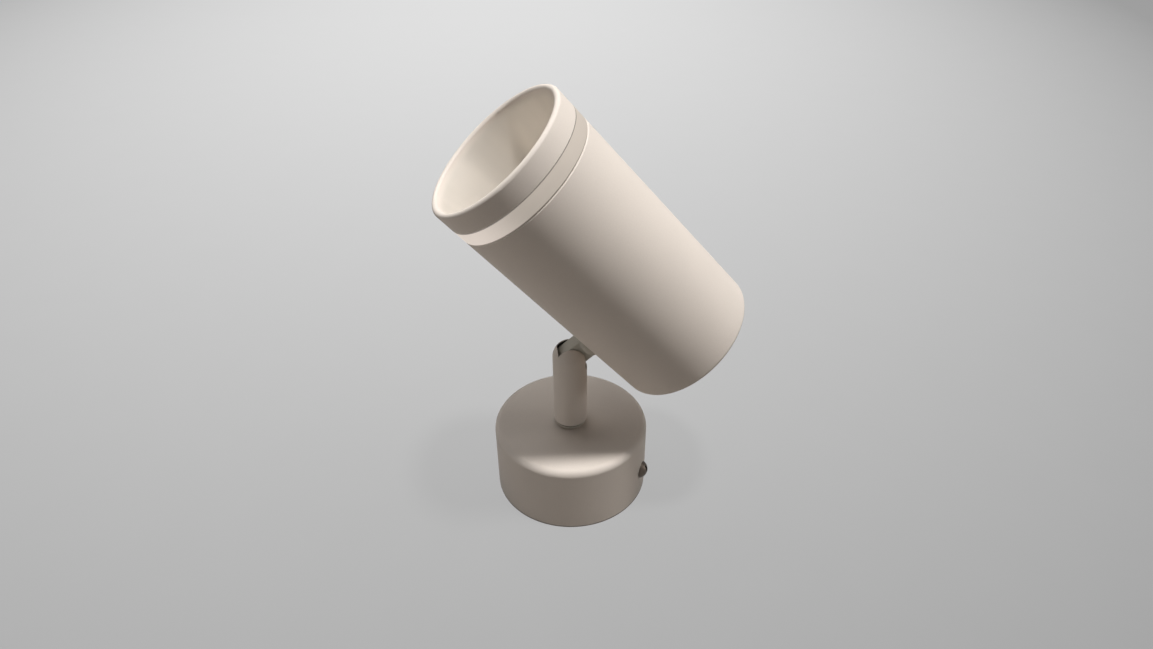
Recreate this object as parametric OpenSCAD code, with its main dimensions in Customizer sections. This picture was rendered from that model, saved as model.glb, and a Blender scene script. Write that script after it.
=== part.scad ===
// Surface mounted spotlight with a tilting and turning head, in millimetres.
// It is drawn as it stands on its mounting face, +Z up. On a ceiling it hangs the other way up.
// The origin is the centre of the mounting face, and the mounting bracket runs along X.

/* [Lamp] */
// Diameter of the reflector lamp
lamp_d = 50; // [46:0.5:60]
// Length of the lamp from the end of its cap to its face
lamp_len = 46.7; // [42:0.1:52]
// Diameter of the lamp cap
lamp_cap_d = 21; // [19:0.5:24]
// Length of the straight part of the lamp cap
lamp_cap_len = 12; // [8:0.5:16]
// Distance between the two lamp pins
pin_pitch = 10; // [9:0.5:12]
// Diameter of a lamp pin's shank
lamp_pin_d = 3; // [2.4:0.1:3.4]
// Diameter of the head at the end of a lamp pin
lamp_pin_head_d = 5; // [4:0.1:5.4]
// Length of a lamp pin
lamp_pin_len = 7.3; // [6:0.1:9]

/* [Head] */
// Radial room between the lamp and the housing
lamp_gap = 1.1; // [0.5:0.1:3]
// Wall of the head housing
head_wall = 1.4; // [1.2:0.1:2.2]
// Overall length of the head, with its ring and bezel
head_len = 104; // [98:1:130]
// Length of the front bezel
bezel_len = 8; // [6:0.5:12]
// Length of the frosted ring behind the bezel
ring_len = 6; // [4:0.5:9]
// Width of the bezel's front rim
rim_w = 2.3; // [1.8:0.1:3]
// Fillet at the back edge of the head
back_fillet = 1.5; // [1:0.1:3]
// Thickness of the head's back wall
back_wall = 2; // [1.5:0.1:4]
// How far the inner end of the glare cone covers the edge of the lamp's face
cone_lip = 4; // [3:0.5:7]
// Wall of the glare cone
cone_wall = 1; // [0.8:0.1:1.5]
// How far the bezel's threaded skirt reaches into the housing
skirt_reach = 7; // [4:0.5:10]
// Wall of the bezel's skirt
skirt_wall = 0.8; // [0.6:0.1:1]
// Windows in the skirt that let light into the frosted ring
window_count = 8; // [4:1:12]
// Width of the posts between the windows
window_post = 4; // [3:0.5:8]

/* [Lampholder] */
// Distance from the back of the head to the lampholder bracket
holder_back = 12.8; // [11.5:0.1:14]
// Diameter of the lampholder
holder_d = 25; // [24:0.5:28]
// Length of the lampholder
holder_len = 16; // [15:0.5:20]
// Distance between the lampholder's two fixing screws
holder_screw_pitch = 18; // [16:0.5:19]
// Thickness of the lampholder bracket's sheet
sheet_t = 1; // [0.8:0.1:1.5]
// Width of the bracket's leg
leg_w = 14; // [13:0.5:16]

/* [Tilt joint] */
// Angle of the neck from upright, as photographed
tilt = 50; // [0:1:90]
// Height of the tilt pivot above the mounting face
pivot_h = 60.5; // [58:0.5:80]
// Distance from the pivot to the outside of the head
neck_len = 9; // [8.8:0.1:14]
// Distance from the back of the head to the neck
neck_back = 24; // [22:0.5:26]
// Thickness of the knuckle's tongue
tongue_t = 6; // [5.4:0.1:6.6]
// Radius of the tongue's round end
tongue_r = 4.3; // [4.2:0.05:4.4]
// Thickness of a tilt washer
tilt_washer_t = 0.45; // [0.3:0.05:0.5]
// Gap on each face of a tilt washer
tilt_washer_gap = 0.05; // [0.02:0.01:0.08]
// Diameter of the pivot screw
pivot_d = 3; // [2.5:0.1:3.1]
// Diameter of the knuckle's seat on the head
flange_d = 11; // [10:0.5:13]

/* [Stem] */
// Angle between the bracket and the plane in which the head tilts, as photographed
pan = 30; // [-165:1:165]
// Diameter of the stem
stem_d = 13; // [12.6:0.1:16]
// Diameter of the wire way through the stem
stem_bore_d = 6; // [5.4:0.1:6.4]
// Diameter of the threaded tubes, one under the stem and one on the knuckle
tube_d = 8; // [7.6:0.1:8.4]
// Wall of a threaded tube
tube_wall = 1.3; // [1:0.1:1.6]
// How far the threaded tube reaches into the stem
tube_reach = 11; // [8:0.5:14]

/* [Base] */
// Diameter of the base cover
base_d = 60; // [58:1:80]
// Height of the base cover
base_h = 29; // [27:0.5:31]
// Wall of the base cover
base_wall = 1.5; // [1.2:0.1:2]
// Fillet round the top of the base cover
base_fillet = 2.5; // [2:0.1:4]
// Diameter of the black bush between base and stem
bush_d = 12; // [11.6:0.1:14]
// Height of the bush above the base cover
bush_h = 1.5; // [1:0.1:2.5]

/* [Fixing] */
// Width of the mounting bracket
bracket_w = 16; // [14:0.5:20]
// Thickness of the mounting bracket
bracket_t = 1.5; // [1.2:0.1:2]
// Width of the bracket's upright ears
ear_w = 10; // [8:0.5:12]
// Distance between the centres of the two ceiling slots
slot_pitch = 36; // [34:1:38]
// Width of a ceiling slot
slot_w = 4.5; // [4.2:0.1:5]
// Length of a ceiling slot, end to end
slot_l = 10; // [8:0.5:11]
// Height of the cover screws above the mounting face
cover_screw_h = 11.8; // [9:0.1:16]
// Diameter of the cover screws
cover_screw_d = 4; // [3:0.1:5]
// Diameter of the cover screws' heads
cover_head_d = 7; // [6:0.1:8]
// Height of the cover screws' heads
cover_head_h = 2.4; // [1.6:0.1:3]
// Length of the terminal block
block_l = 22; // [20:0.5:26]
// Width of the terminal block
block_w = 13; // [12:0.5:14]
// Height of the terminal block
block_h = 12; // [11:0.5:13]
// Distance from the inside of the cover's wall to the middle of the terminal block
block_back = 12.5; // [11.5:0.5:13]
// Width of the bracket's tongue under the terminal block
tongue_w = 12; // [10:0.5:16]
// Diameter of the bracket's pad round the earth screw
earth_pad_d = 10; // [9:0.5:12]
// Diameter of an insulated lead
lead_d = 1.4; // [1:0.1:1.5]
// Sideways play of the earth lead between its tags
earth_sway = 3; // [2:0.5:4]

/* [Fits] */
// Radial gap between a turning shaft and its bore
turn_gap = 0.06; // [0.02:0.01:0.1]
// Radial gap round a screw or tube in its tapped hole
thread_gap = 0.05; // [0.02:0.01:0.1]
// Gap between flat faces that slide on each other
slide_gap = 0.1; // [0.05:0.01:0.2]
// Gap at the visible joints of the head
seam_gap = 0.1; // [0.05:0.01:0.3]
// Gap round the neck where it passes the stem
swing_gap = 0.4; // [0.3:0.05:0.5]

/* [Hidden] */
$fn = 64;
// A cut runs this far past the face it opens
past = 1;

paint = [0.81, 0.76, 0.70];
black_plastic = [0.10, 0.10, 0.11];
zinc = [0.72, 0.73, 0.75];
bronze = [0.25, 0.20, 0.17];
brass = [0.80, 0.65, 0.35];
ceramic = [0.93, 0.92, 0.88];
frost = [0.88, 0.86, 0.82];
brown = [0.36, 0.20, 0.12];
blue = [0.15, 0.30, 0.65];
green = [0.45, 0.65, 0.15];

head_r = lamp_d / 2 + lamp_gap + head_wall;
head_ri = head_r - head_wall;
body_len = head_len - bezel_len - ring_len;
axis_h = neck_len + head_r;
holder_z = holder_back + sheet_t;
lamp_z = holder_z + holder_len + slide_gap;
face_z = lamp_z + lamp_len;
lead_r = lead_d / 2;
wire_way_r = lead_r + 0.15;

// Inside the neck the two leads pass the pivot screw, one on each side of it
pivot_r = pivot_d / 2;
way_x = (tongue_r + pivot_r + turn_gap) / 2;
tube_r = tube_d / 2;
tube_ri = tube_r - tube_wall;
tube_lead_x = tube_ri - lead_r - 0.3;
flange_r = flange_d / 2;
taper_h = 1.3;
pad_rise = 1.3;
pad_x = head_ri - pad_rise;
washer_t = 0.8;
lens_sink = 4;
lens_in_r = lamp_d / 2 - 5;
lens_flare = 0.75;
nut_t = 3.2;
nut_af = 13;
nut_r = nut_af / sqrt(3);
tube_proud = 0.8;

stem_r = stem_d / 2;
slot_gap = tongue_t + 2 * tilt_washer_t + 4 * tilt_washer_gap;
slot_r = tongue_r + swing_gap;
stem_z = base_h + bush_h + slide_gap;
pivot_head_r = pivot_r + 1.1;
pivot_head_t = 1.1;
pivot_seat_y = slot_gap / 2 + 1.3;
pivot_end_y = stem_r - 0.9;

base_r = base_d / 2;
base_ri = base_r - base_wall;
cover_in = base_h - base_wall;
bush_r = bush_d / 2;
sleeve_r = bush_r - 1;
swivel_t = 0.8;
swivel_r = 8.5;
stop_t = 1;
spring_t = 0.6;
thin_nut_t = 3.5;
swivel_z = cover_in - slide_gap - swivel_t;
stop_z = swivel_z - stop_t;
spring_z = stop_z - spring_t;
nut_z = spring_z - thin_nut_t;
lock_nut_z = nut_z - slide_gap - thin_nut_t;
tube_z = lock_nut_z - tube_proud;
stop_pin_r = 1;
stop_pin_at = swivel_r + 2;
tab_w = 3;

bracket_x = base_ri - 0.6;
collar_r = cover_screw_d / 2 + 1;
collar_h = 1.2;
block_y = -(base_ri - block_back);
block_z = bracket_t + slide_gap;
pole_x = 5.5;
pole_w = 6.4;
pole_rise = 3;
clamp_z = block_z + block_h * 0.42;
clamp_r = 2.4;
clamp_wall = 0.8;
clamp_len = block_w - 2;
clamp_screw_r = 1.25;
clamp_screw_y = 3.2;
clamp_screw_len = 5;
m3_r = 1.5;
m3_head_r = 2.8;
m3_head_t = 1.6;
m4_r = 2;
m4_head_r = 3.6;
m4_head_t = 2.2;
cable_hole_r = 4.5;
earth_y = bracket_w / 2 + 5;
boss_r = 3.4;
boss_h = 6;
boss_at = [-base_ri * 0.36, base_ri * 0.6];
lug_t = 0.8;
lug_r = 3.4;
lug_barrel_r = 1.3;
lug_barrel_at = 5;
lug_barrel_len = 4;
lug_lead_z = 1.2;

module in_head() {
    rotate([0, 0, pan]) translate([0, 0, pivot_h]) rotate([0, tilt, 0]) children();
}

// Along the head: z runs from the back to the front, and the neck is on the -X side
module along_head() {
    in_head() translate([neck_back, 0, axis_h]) rotate([0, -90, 0]) children();
}

module on_stem() {
    rotate([0, 0, pan]) children();
}

// A round bar with a fillet at its top edge
module capped(r, h, fillet) {
    rotate_extrude() {
        square([r - fillet, h]);
        square([r, h - fillet]);
        intersection() {
            translate([r - fillet, h - fillet]) circle(fillet);
            square([r, h]);
        }
    }
}

module ring(r_out, r_in, h) {
    difference() {
        cylinder(h = h, r = r_out);
        translate([0, 0, -past]) cylinder(h = h + 2 * past, r = r_in);
    }
}

module hex_nut(r_in, h) {
    difference() {
        intersection() {
            cylinder(h = h, r = nut_r, $fn = 6);
            cylinder(h = h, r = nut_r * 0.97);
        }
        translate([0, 0, -past]) cylinder(h = h + 2 * past, r = r_in);
    }
}

// A screw along -Z: its head stands on z = 0 and its shank goes down
module screw(r, length, head_r, head_t, drive_w) {
    difference() {
        union() {
            translate([0, 0, -length]) cylinder(h = length + head_t / 2, r = r);
            cylinder(h = head_t, r = head_r);
        }
        translate([-head_r - past, -drive_w / 2, head_t * 0.55])
            cube([2 * (head_r + past), drive_w, head_t]);
    }
}

// A lead swept along a smooth curve through the points of its route
function curve_point(a, b, c, d, t) =
    0.5 * (2 * b + (c - a) * t + (2 * a - 5 * b + 4 * c - d) * t * t
           + (3 * b - a - 3 * c + d) * t * t * t);
function curve(route, steps) = let (n = len(route) - 1) [
    for (i = [0 : n - 1], k = [0 : steps - 1])
        curve_point(route[max(i - 1, 0)], route[i], route[i + 1], route[min(i + 2, n)], k / steps),
    route[n]];
function unit(v) = v / norm(v);
function heading(p, i) = unit(p[min(i + 1, len(p) - 1)] - p[max(i - 1, 0)]);
// Each ring's first axis is the last one's, turned as little as the curve allows
function side_axes(p, i, last) =
    let (t = heading(p, i), v = unit(last - (last * t) * t))
    i == len(p) - 1 ? [v] : concat([v], side_axes(p, i + 1, v));
module lead(route, r, start_side, steps = 4, sides = 8) {
    p = curve(route, steps);
    u = side_axes(p, 0, start_side);
    n = len(p);
    points = [for (i = [0 : n - 1], k = [0 : sides - 1])
        let (w = cross(heading(p, i), u[i]), a = 360 * k / sides)
        p[i] + r * (cos(a) * u[i] + sin(a) * w)];
    walls = [for (i = [0 : n - 2], k = [0 : sides - 1])
        [i * sides + k, (i + 1) * sides + k,
         (i + 1) * sides + (k + 1) % sides, i * sides + (k + 1) % sides]];
    first = [for (k = [0 : sides - 1]) k];
    last = [for (k = [sides - 1 : -1 : 0]) (n - 1) * sides + k];
    polyhedron(points, concat(walls, [first, last]));
}

module base_cover() {
    color(paint) difference() {
        union() {
            difference() {
                capped(base_r, base_h, base_fillet);
                translate([0, 0, -past])
                    capped(base_ri, cover_in + past, max(base_fillet - base_wall, 0.5));
            }
            translate([boss_at[0], boss_at[1], cover_in - boss_h])
                cylinder(h = boss_h + base_wall / 2, r = boss_r);
        }
        translate([0, 0, cover_in - past]) cylinder(h = base_wall + 2 * past, r = sleeve_r + thread_gap);
        translate([-base_d, 0, cover_screw_h]) rotate([0, 90, 0])
            cylinder(h = 2 * base_d, r = cover_screw_d / 2 + 0.2);
        translate([boss_at[0], boss_at[1], cover_in - boss_h - past])
            cylinder(h = boss_h + past, r = m3_r + thread_gap);
        rotate([0, 0, pan + 180]) translate([stop_pin_at, 0, cover_in - past])
            cylinder(h = base_wall / 2 + past, r = stop_pin_r + thread_gap);
    }
}

module bracket_outline() {
    difference() {
        union() {
            square([2 * bracket_x, ear_w], center = true);
            square([2 * (slot_pitch / 2 + slot_l / 2), bracket_w], center = true);
            translate([-tongue_w / 2, block_y - tongue_w / 3]) square([tongue_w, tongue_w / 3 - block_y]);
            translate([-earth_pad_d / 2, 0]) square([earth_pad_d, earth_y]);
            translate([0, earth_y]) circle(earth_pad_d / 2);
        }
        circle(cable_hole_r);
        for (side = [-1, 1], end = [-1, 1]) translate([side * slot_pitch / 2, 0]) {
            translate([end * (slot_l - slot_w) / 2, 0]) circle(slot_w / 2);
            square([slot_l - slot_w, slot_w], center = true);
        }
        translate([0, block_y]) circle(m3_r + thread_gap);
        translate([0, earth_y]) circle(m4_r + thread_gap);
    }
}

module bracket_ear() {
    difference() {
        union() {
            translate([bracket_x - bracket_t, -ear_w / 2, bracket_t / 2])
                cube([bracket_t, ear_w, cover_screw_h - bracket_t / 2]);
            translate([bracket_x - bracket_t, 0, cover_screw_h]) rotate([0, 90, 0])
                cylinder(h = bracket_t, r = ear_w / 2);
            translate([bracket_x - bracket_t - collar_h, 0, cover_screw_h]) rotate([0, 90, 0])
                cylinder(h = collar_h + bracket_t / 2, r = collar_r);
        }
        translate([bracket_x - bracket_t - collar_h - past, 0, cover_screw_h]) rotate([0, 90, 0])
            cylinder(h = bracket_t + collar_h + 2 * past, r = cover_screw_d / 2 + thread_gap);
    }
}

module mounting_bracket() {
    color(zinc) {
        linear_extrude(bracket_t) bracket_outline();
        for (turn = [0, 180]) rotate([0, 0, turn]) bracket_ear();
    }
}

// The cover screws' heads are low domes
module cover_screws() {
    dome_r = (pow(cover_head_d / 2, 2) + pow(cover_head_h, 2)) / (2 * cover_head_h);
    shank = base_r - bracket_x + bracket_t + collar_h + 0.8;
    color(bronze) for (turn = [0, 180]) rotate([0, 0, turn])
        translate([base_r + 0.02, 0, cover_screw_h]) rotate([0, 90, 0]) difference() {
            union() {
                translate([0, 0, -shank]) cylinder(h = shank + 0.5, r = cover_screw_d / 2);
                intersection() {
                    translate([0, 0, cover_head_h - dome_r]) sphere(dome_r);
                    cylinder(h = cover_head_h, r = cover_head_d / 2);
                }
            }
            translate([-cover_head_d, -0.5, cover_head_h * 0.6]) cube([2 * cover_head_d, 1, cover_head_h]);
        }
}

module terminal_block() {
    color(ceramic) translate([0, block_y, block_z]) difference() {
        union() {
            translate([-block_l / 2, -block_w / 2, 0]) cube([block_l, block_w, block_h - pole_rise]);
            for (x = [-pole_x, pole_x])
                translate([x - pole_w / 2, -block_w / 2, 0]) cube([pole_w, block_w, block_h]);
        }
        translate([0, 0, -past]) cylinder(h = block_h + past, r = m3_r + 0.2);
        for (x = [-pole_x, pole_x]) translate([x, 0, clamp_z - block_z]) {
            rotate([90, 0, 0]) cylinder(h = block_w + past, r = clamp_r + thread_gap, center = true);
            for (y = [-clamp_screw_y, clamp_screw_y])
                translate([0, y, 0]) cylinder(h = block_h, r = clamp_screw_r + 0.5);
        }
    }
}

module terminal_clamps() {
    color(brass) for (x = [-pole_x, pole_x]) translate([x, block_y, clamp_z]) difference() {
        rotate([90, 0, 0]) cylinder(h = clamp_len, r = clamp_r, center = true);
        rotate([90, 0, 0]) cylinder(h = clamp_len + past, r = clamp_r - clamp_wall, center = true);
        for (y = [-clamp_screw_y, clamp_screw_y])
            translate([0, y, 0]) cylinder(h = clamp_r + past, r = clamp_screw_r + thread_gap);
    }
}

module terminal_screws() {
    color(zinc) for (x = [-pole_x, pole_x], y = [-clamp_screw_y, clamp_screw_y])
        translate([x, block_y + y, clamp_z]) difference() {
            translate([0, 0, lead_r + 0.1]) cylinder(h = clamp_screw_len, r = clamp_screw_r);
            translate([-clamp_screw_r - past, -0.3, lead_r + clamp_screw_len - 0.8])
                cube([2 * (clamp_screw_r + past), 0.6, past + 1]);
        }
}

module block_screw() {
    length = block_h - pole_rise + bracket_t + slide_gap;
    color(zinc) translate([0, block_y, length + slide_gap])
        screw(m3_r, length, (2 * pole_x - pole_w) / 2 - 0.2, m3_head_t, 0.7);
}

module earth_screw() {
    color(zinc) translate([0, earth_y, bracket_t + lug_t + slide_gap])
        screw(m4_r, bracket_t + lug_t + slide_gap, m4_head_r, m4_head_t, 1);
}

module cover_earth_screw() {
    color(zinc) translate([boss_at[0], boss_at[1], cover_in - boss_h - lug_t - slide_gap])
        mirror([0, 0, 1]) screw(m3_r, boss_h - 1, m3_head_r, m3_head_t, 0.8);
}

// A ring tag with its barrel along +X
module lug(hole_r) {
    difference() {
        union() {
            cylinder(h = lug_t, r = lug_r);
            translate([0, -lug_barrel_r, 0]) cube([lug_barrel_at + 1.5, 2 * lug_barrel_r, lug_t]);
            translate([lug_barrel_at, 0, lug_lead_z]) rotate([0, 90, 0])
                cylinder(h = lug_barrel_len, r = lug_barrel_r);
        }
        translate([0, 0, -past]) cylinder(h = lug_t + 2 * past, r = hole_r);
        translate([lug_barrel_at - past, 0, lug_lead_z]) rotate([0, 90, 0])
            cylinder(h = lug_barrel_len + 2 * past, r = wire_way_r);
    }
}

module earth_lugs() {
    color(zinc) {
        translate([0, earth_y, bracket_t + slide_gap / 2]) lug(m4_r + 0.1);
        translate([boss_at[0], boss_at[1], cover_in - boss_h - slide_gap / 2])
            mirror([0, 0, 1]) lug(m3_r + 0.1);
    }
}

module earth_lead() {
    low = bracket_t + slide_gap / 2 + lug_lead_z;
    high = cover_in - boss_h - slide_gap / 2 - lug_lead_z;
    in = lug_barrel_at + 0.5;
    out = lug_barrel_at + lug_barrel_len;
    route = [[in, earth_y, low], [out - past, earth_y, low], [out + past, earth_y, low],
             [base_ri / 2, earth_y + earth_sway / 2, base_h * 0.21],
             [base_ri / 2 + past, earth_y + earth_sway, base_h * 0.38],
             [base_ri * 0.39, boss_at[1] + earth_sway / 3, base_h * 0.59],
             [base_ri * 0.14, boss_at[1] + earth_sway / 6, high - past],
             [boss_at[0] + out + past, boss_at[1], high], [boss_at[0] + out - past, boss_at[1], high],
             [boss_at[0] + in, boss_at[1], high]];
    color(green) lead(route, lead_r, [0, 1, 0]);
}

module base_lead(side) {
    turned = [tube_lead_x * cos(pan), tube_lead_x * sin(pan)] * side;
    top = tube_z - 0.3;
    route = [[side * pole_x, block_y + block_w * 0.15, clamp_z], [side * pole_x, block_y + block_w * 0.58, clamp_z],
             [side * pole_x * 0.8, block_y + block_w * 0.8, clamp_z + lead_d],
             [turned[0] * 1.4, turned[1] * 1.4 - lead_r, top - 2.5 * lead_d],
             [turned[0], turned[1], top - lead_d], [turned[0], turned[1], top]];
    lead(route, lead_r, [1, 0, 0]);
}

module base_live_lead() {
    color(brown) base_lead(1);
}

module base_neutral_lead() {
    color(blue) base_lead(-1);
}

// A flanged bush: the stem turns on its flange, and its sleeve lines the hole in the cover
module stem_bush() {
    color(black_plastic) difference() {
        union() {
            translate([0, 0, base_h]) cylinder(h = bush_h, r = bush_r);
            translate([0, 0, cover_in]) cylinder(h = base_wall + bush_h / 2, r = sleeve_r);
        }
        translate([0, 0, cover_in - past])
            cylinder(h = base_wall + bush_h + 2 * past, r = tube_r + turn_gap);
    }
}

module stop_pin() {
    color(zinc) rotate([0, 0, pan + 180]) translate([stop_pin_at, 0, stop_z - 0.4])
        cylinder(h = cover_in + base_wall / 2 - slide_gap - stop_z + 0.4, r = stop_pin_r);
}

// The slot lets the neck swing from upright to level, and its back wall stops the upright neck
module tilt_slot() {
    far = 2 * stem_r;
    rotate([90, 0, 0]) linear_extrude(slot_gap, center = true) {
        circle(slot_r);
        translate([-slot_r, 0]) square([far, far]);
        translate([0, -slot_r]) square([far, far]);
    }
}

module stem() {
    foot = 0.5;
    color(paint) on_stem() difference() {
        rotate_extrude() {
            intersection() {
                translate([0, pivot_h]) circle(stem_r);
                translate([0, pivot_h - 1]) square([stem_r, stem_r + 1]);
            }
            translate([0, stem_z + foot]) square([stem_r, pivot_h - stem_z - foot]);
            polygon([[0, stem_z], [stem_r - foot, stem_z], [stem_r, stem_z + foot], [0, stem_z + foot]]);
        }
        translate([0, 0, pivot_h]) tilt_slot();
        translate([0, 0, stem_z - past])
            cylinder(h = tube_reach + 0.5 + past, r = tube_r + thread_gap);
        translate([0, 0, stem_z]) cylinder(h = pivot_h - stem_z - slot_r / 2, r = stem_bore_d / 2);
        translate([0, 0, pivot_h]) rotate([-90, 0, 0]) {
            translate([0, 0, -pivot_end_y]) cylinder(h = pivot_end_y, r = pivot_r + thread_gap);
            cylinder(h = stem_r, r = pivot_r + thread_gap);
            translate([0, 0, pivot_seat_y]) cylinder(h = stem_r, r = pivot_head_r + thread_gap);
        }
    }
}

module threaded_tube() {
    color(zinc) on_stem() translate([0, 0, tube_z])
        ring(tube_r, tube_ri, stem_z + tube_reach - tube_z);
}

module swivel_washer() {
    color(black_plastic) translate([0, 0, swivel_z]) ring(swivel_r, tube_r + thread_gap, swivel_t);
}

module stop_washer() {
    color(zinc) on_stem() translate([0, 0, stop_z]) difference() {
        union() {
            cylinder(h = stop_t, r = swivel_r - 0.5);
            translate([0, -tab_w / 2, 0]) cube([stop_pin_at + stop_pin_r, tab_w, stop_t]);
        }
        translate([0, 0, -past]) cylinder(h = stop_t + 2 * past, r = tube_r + thread_gap);
    }
}

module spring_washer() {
    color(zinc) on_stem() translate([0, 0, spring_z + 0.02]) difference() {
        cylinder(h = spring_t - 0.04, r = tube_r + 2.8);
        translate([0, 0, -past]) cylinder(h = spring_t + 2 * past, r = tube_r + 0.2);
        translate([0, -0.5, -past]) cube([stem_d, 1, spring_t + 2 * past]);
    }
}

module tube_nuts() {
    color(brass) on_stem() for (z = [nut_z, lock_nut_z])
        translate([0, 0, z]) hex_nut(tube_r + thread_gap, thin_nut_t);
}

module pivot_screw() {
    color(zinc) on_stem() translate([0, 0, pivot_h]) rotate([-90, 0, 0]) difference() {
        union() {
            translate([0, 0, -pivot_end_y + 0.3]) cylinder(h = pivot_end_y + pivot_seat_y, r = pivot_r);
            translate([0, 0, pivot_seat_y + 0.02]) cylinder(h = pivot_head_t, r = pivot_head_r);
        }
        translate([0, 0, pivot_seat_y + pivot_head_t - 0.7]) cylinder(h = 1, r = 1.15, $fn = 6);
    }
}

module tilt_washers() {
    at = tongue_t / 2 + tilt_washer_gap;
    color(black_plastic) on_stem() translate([0, 0, pivot_h]) for (turn = [-90, 90])
        rotate([turn, 0, 0]) translate([0, 0, at])
            ring(tongue_r - 0.1, pivot_r + 0.1, tilt_washer_t);
}

module stem_lead(side) {
    x = side * tube_lead_x;
    route = [[x, 0, tube_z], [x, 0, stem_z + tube_reach], [x, 0, pivot_h - slot_r - 0.3]];
    on_stem() lead(route, lead_r, [1, 0, 0], 2);
}

module stem_live_lead() {
    color(brown) stem_lead(1);
}

module stem_neutral_lead() {
    color(blue) stem_lead(-1);
}

// The knuckle: a flat tongue that tilts in the stem's slot, a neck that widens to a saddle on the
// round head, and a threaded tube through the head's wall, with a way for each lead
module knuckle() {
    taper_z = neck_len - taper_h - 0.7;
    tube_top = axis_h - pad_x + sheet_t + washer_t + nut_t + tube_proud;
    way_out = way_x + lead_r;
    way_in = tube_lead_x + lead_r;
    color(paint) in_head() difference() {
        union() {
            difference() {
                union() {
                    rotate([90, 0, 0]) linear_extrude(tongue_t, center = true) {
                        circle(tongue_r);
                        translate([-tongue_r, 0]) square([2 * tongue_r, taper_z + taper_h]);
                    }
                    translate([0, 0, taper_z]) cylinder(h = taper_h, r1 = tongue_r + 0.1, r2 = flange_r);
                    translate([0, 0, taper_z + taper_h])
                        cylinder(h = neck_len + flange_r - taper_z - taper_h, r = flange_r);
                }
                translate([0, 0, axis_h]) rotate([0, 90, 0])
                    cylinder(h = 4 * flange_d, r = head_r, center = true);
            }
            translate([0, 0, taper_z + taper_h]) cylinder(h = tube_top - taper_z - taper_h, r = tube_r);
        }
        rotate([90, 0, 0]) cylinder(h = tongue_t + past, r = pivot_r + turn_gap, center = true);
        for (side = [-1, 1]) translate([side * way_x, 0, -tongue_r - past])
            cylinder(h = tongue_r + past + 4.6, r = wire_way_r);
        rotate([90, 0, 0]) linear_extrude(lead_d + 0.1, center = true)
            polygon([[-way_out, 4.2], [way_out, 4.2], [way_in, taper_z + 1], [-way_in, taper_z + 1]]);
        translate([0, 0, taper_z + 0.6]) cylinder(h = tube_top, r = tube_ri);
    }
}

// The housing is a cup with a flat pad inside for the neck's nut, and a thin bevel at its mouth
module head_housing() {
    bevel = 0.4;
    color(paint) along_head() difference() {
        union() {
            difference() {
                translate([0, 0, body_len]) mirror([0, 0, 1]) capped(head_r, body_len, back_fillet);
                translate([0, 0, back_wall]) cylinder(h = body_len, r = head_ri);
                translate([0, 0, body_len - bevel]) difference() {
                    cylinder(h = past, r = head_r + past);
                    translate([0, 0, -bevel])
                        cylinder(h = 3 * bevel, r1 = head_r + bevel, r2 = head_r - 2 * bevel);
                }
            }
            intersection() {
                translate([-head_r, 0, neck_back]) rotate([0, 90, 0])
                    cylinder(h = head_r - pad_x, r = flange_r + 2);
                cylinder(h = body_len, r = head_ri + head_wall / 2);
            }
        }
        translate([-head_r - past, 0, neck_back]) rotate([0, 90, 0])
            cylinder(h = 2 * head_wall + pad_rise + 2 * past, r = tube_r + thread_gap);
    }
}

module neck_washer() {
    color(zinc) in_head() translate([0, 0, axis_h - pad_x + sheet_t])
        ring(nut_r - 0.7, tube_r + thread_gap, washer_t);
}

module neck_nut() {
    color(brass) in_head() translate([0, 0, axis_h - pad_x + sheet_t + washer_t])
        hex_nut(tube_r + thread_gap, nut_t);
}

// A bent strip: one leg under the neck's nut, and a plate across the head behind the lampholder
module holder_bracket() {
    lead_gate = [5, 7];
    color(zinc) along_head() {
        translate([-pad_x, 0, 0]) difference() {
            union() {
                translate([0, -leg_w / 2, holder_back]) cube([sheet_t, leg_w, neck_back - holder_back]);
                translate([0, 0, neck_back]) rotate([0, 90, 0]) cylinder(h = sheet_t, r = leg_w / 2);
            }
            translate([-past, 0, neck_back]) rotate([0, 90, 0])
                cylinder(h = sheet_t + 2 * past, r = tube_r + thread_gap);
        }
        translate([0, 0, holder_back]) linear_extrude(sheet_t) difference() {
            union() {
                translate([-pad_x, -leg_w / 2]) square([pad_x, leg_w]);
                circle(holder_d / 2 + 0.5);
            }
            circle(5.5);
            translate([-pad_x + 5, -lead_gate[1] / 2]) square(lead_gate);
            for (y = [-1, 1]) translate([0, y * holder_screw_pitch / 2]) circle(m3_r + thread_gap);
        }
    }
}

module lampholder() {
    pocket = lamp_pin_len + 1.2;
    color(ceramic) along_head() translate([0, 0, holder_z]) difference() {
        union() {
            cylinder(h = holder_len - 1.5, r = holder_d / 2);
            translate([0, 0, holder_len - 1.5]) cylinder(h = 1.5, r1 = holder_d / 2, r2 = holder_d / 2 - 1.5);
        }
        for (x = [-1, 1]) translate([x * pin_pitch / 2, 0, 0]) {
            translate([0, 0, holder_len - pocket]) cylinder(h = pocket + past, r = lamp_pin_head_d / 2 + 0.2);
            translate([-x * 1.2, 0, -past]) cylinder(h = holder_len, r = lead_r + 0.1);
        }
        for (y = [-1, 1]) translate([0, y * holder_screw_pitch / 2, -past]) {
            cylinder(h = holder_len + 2 * past, r = m3_r + 0.1);
            translate([0, 0, past + holder_len - 4]) cylinder(h = 4 + past, r = m3_head_r + 0.1);
        }
    }
}

module holder_screws() {
    seat = holder_len - 4;
    color(zinc) along_head() for (y = [-1, 1])
        translate([0, y * holder_screw_pitch / 2, holder_z + seat + 0.02])
            screw(m3_r, seat + sheet_t + 1, m3_head_r, m3_head_t, 0.8);
}

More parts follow.
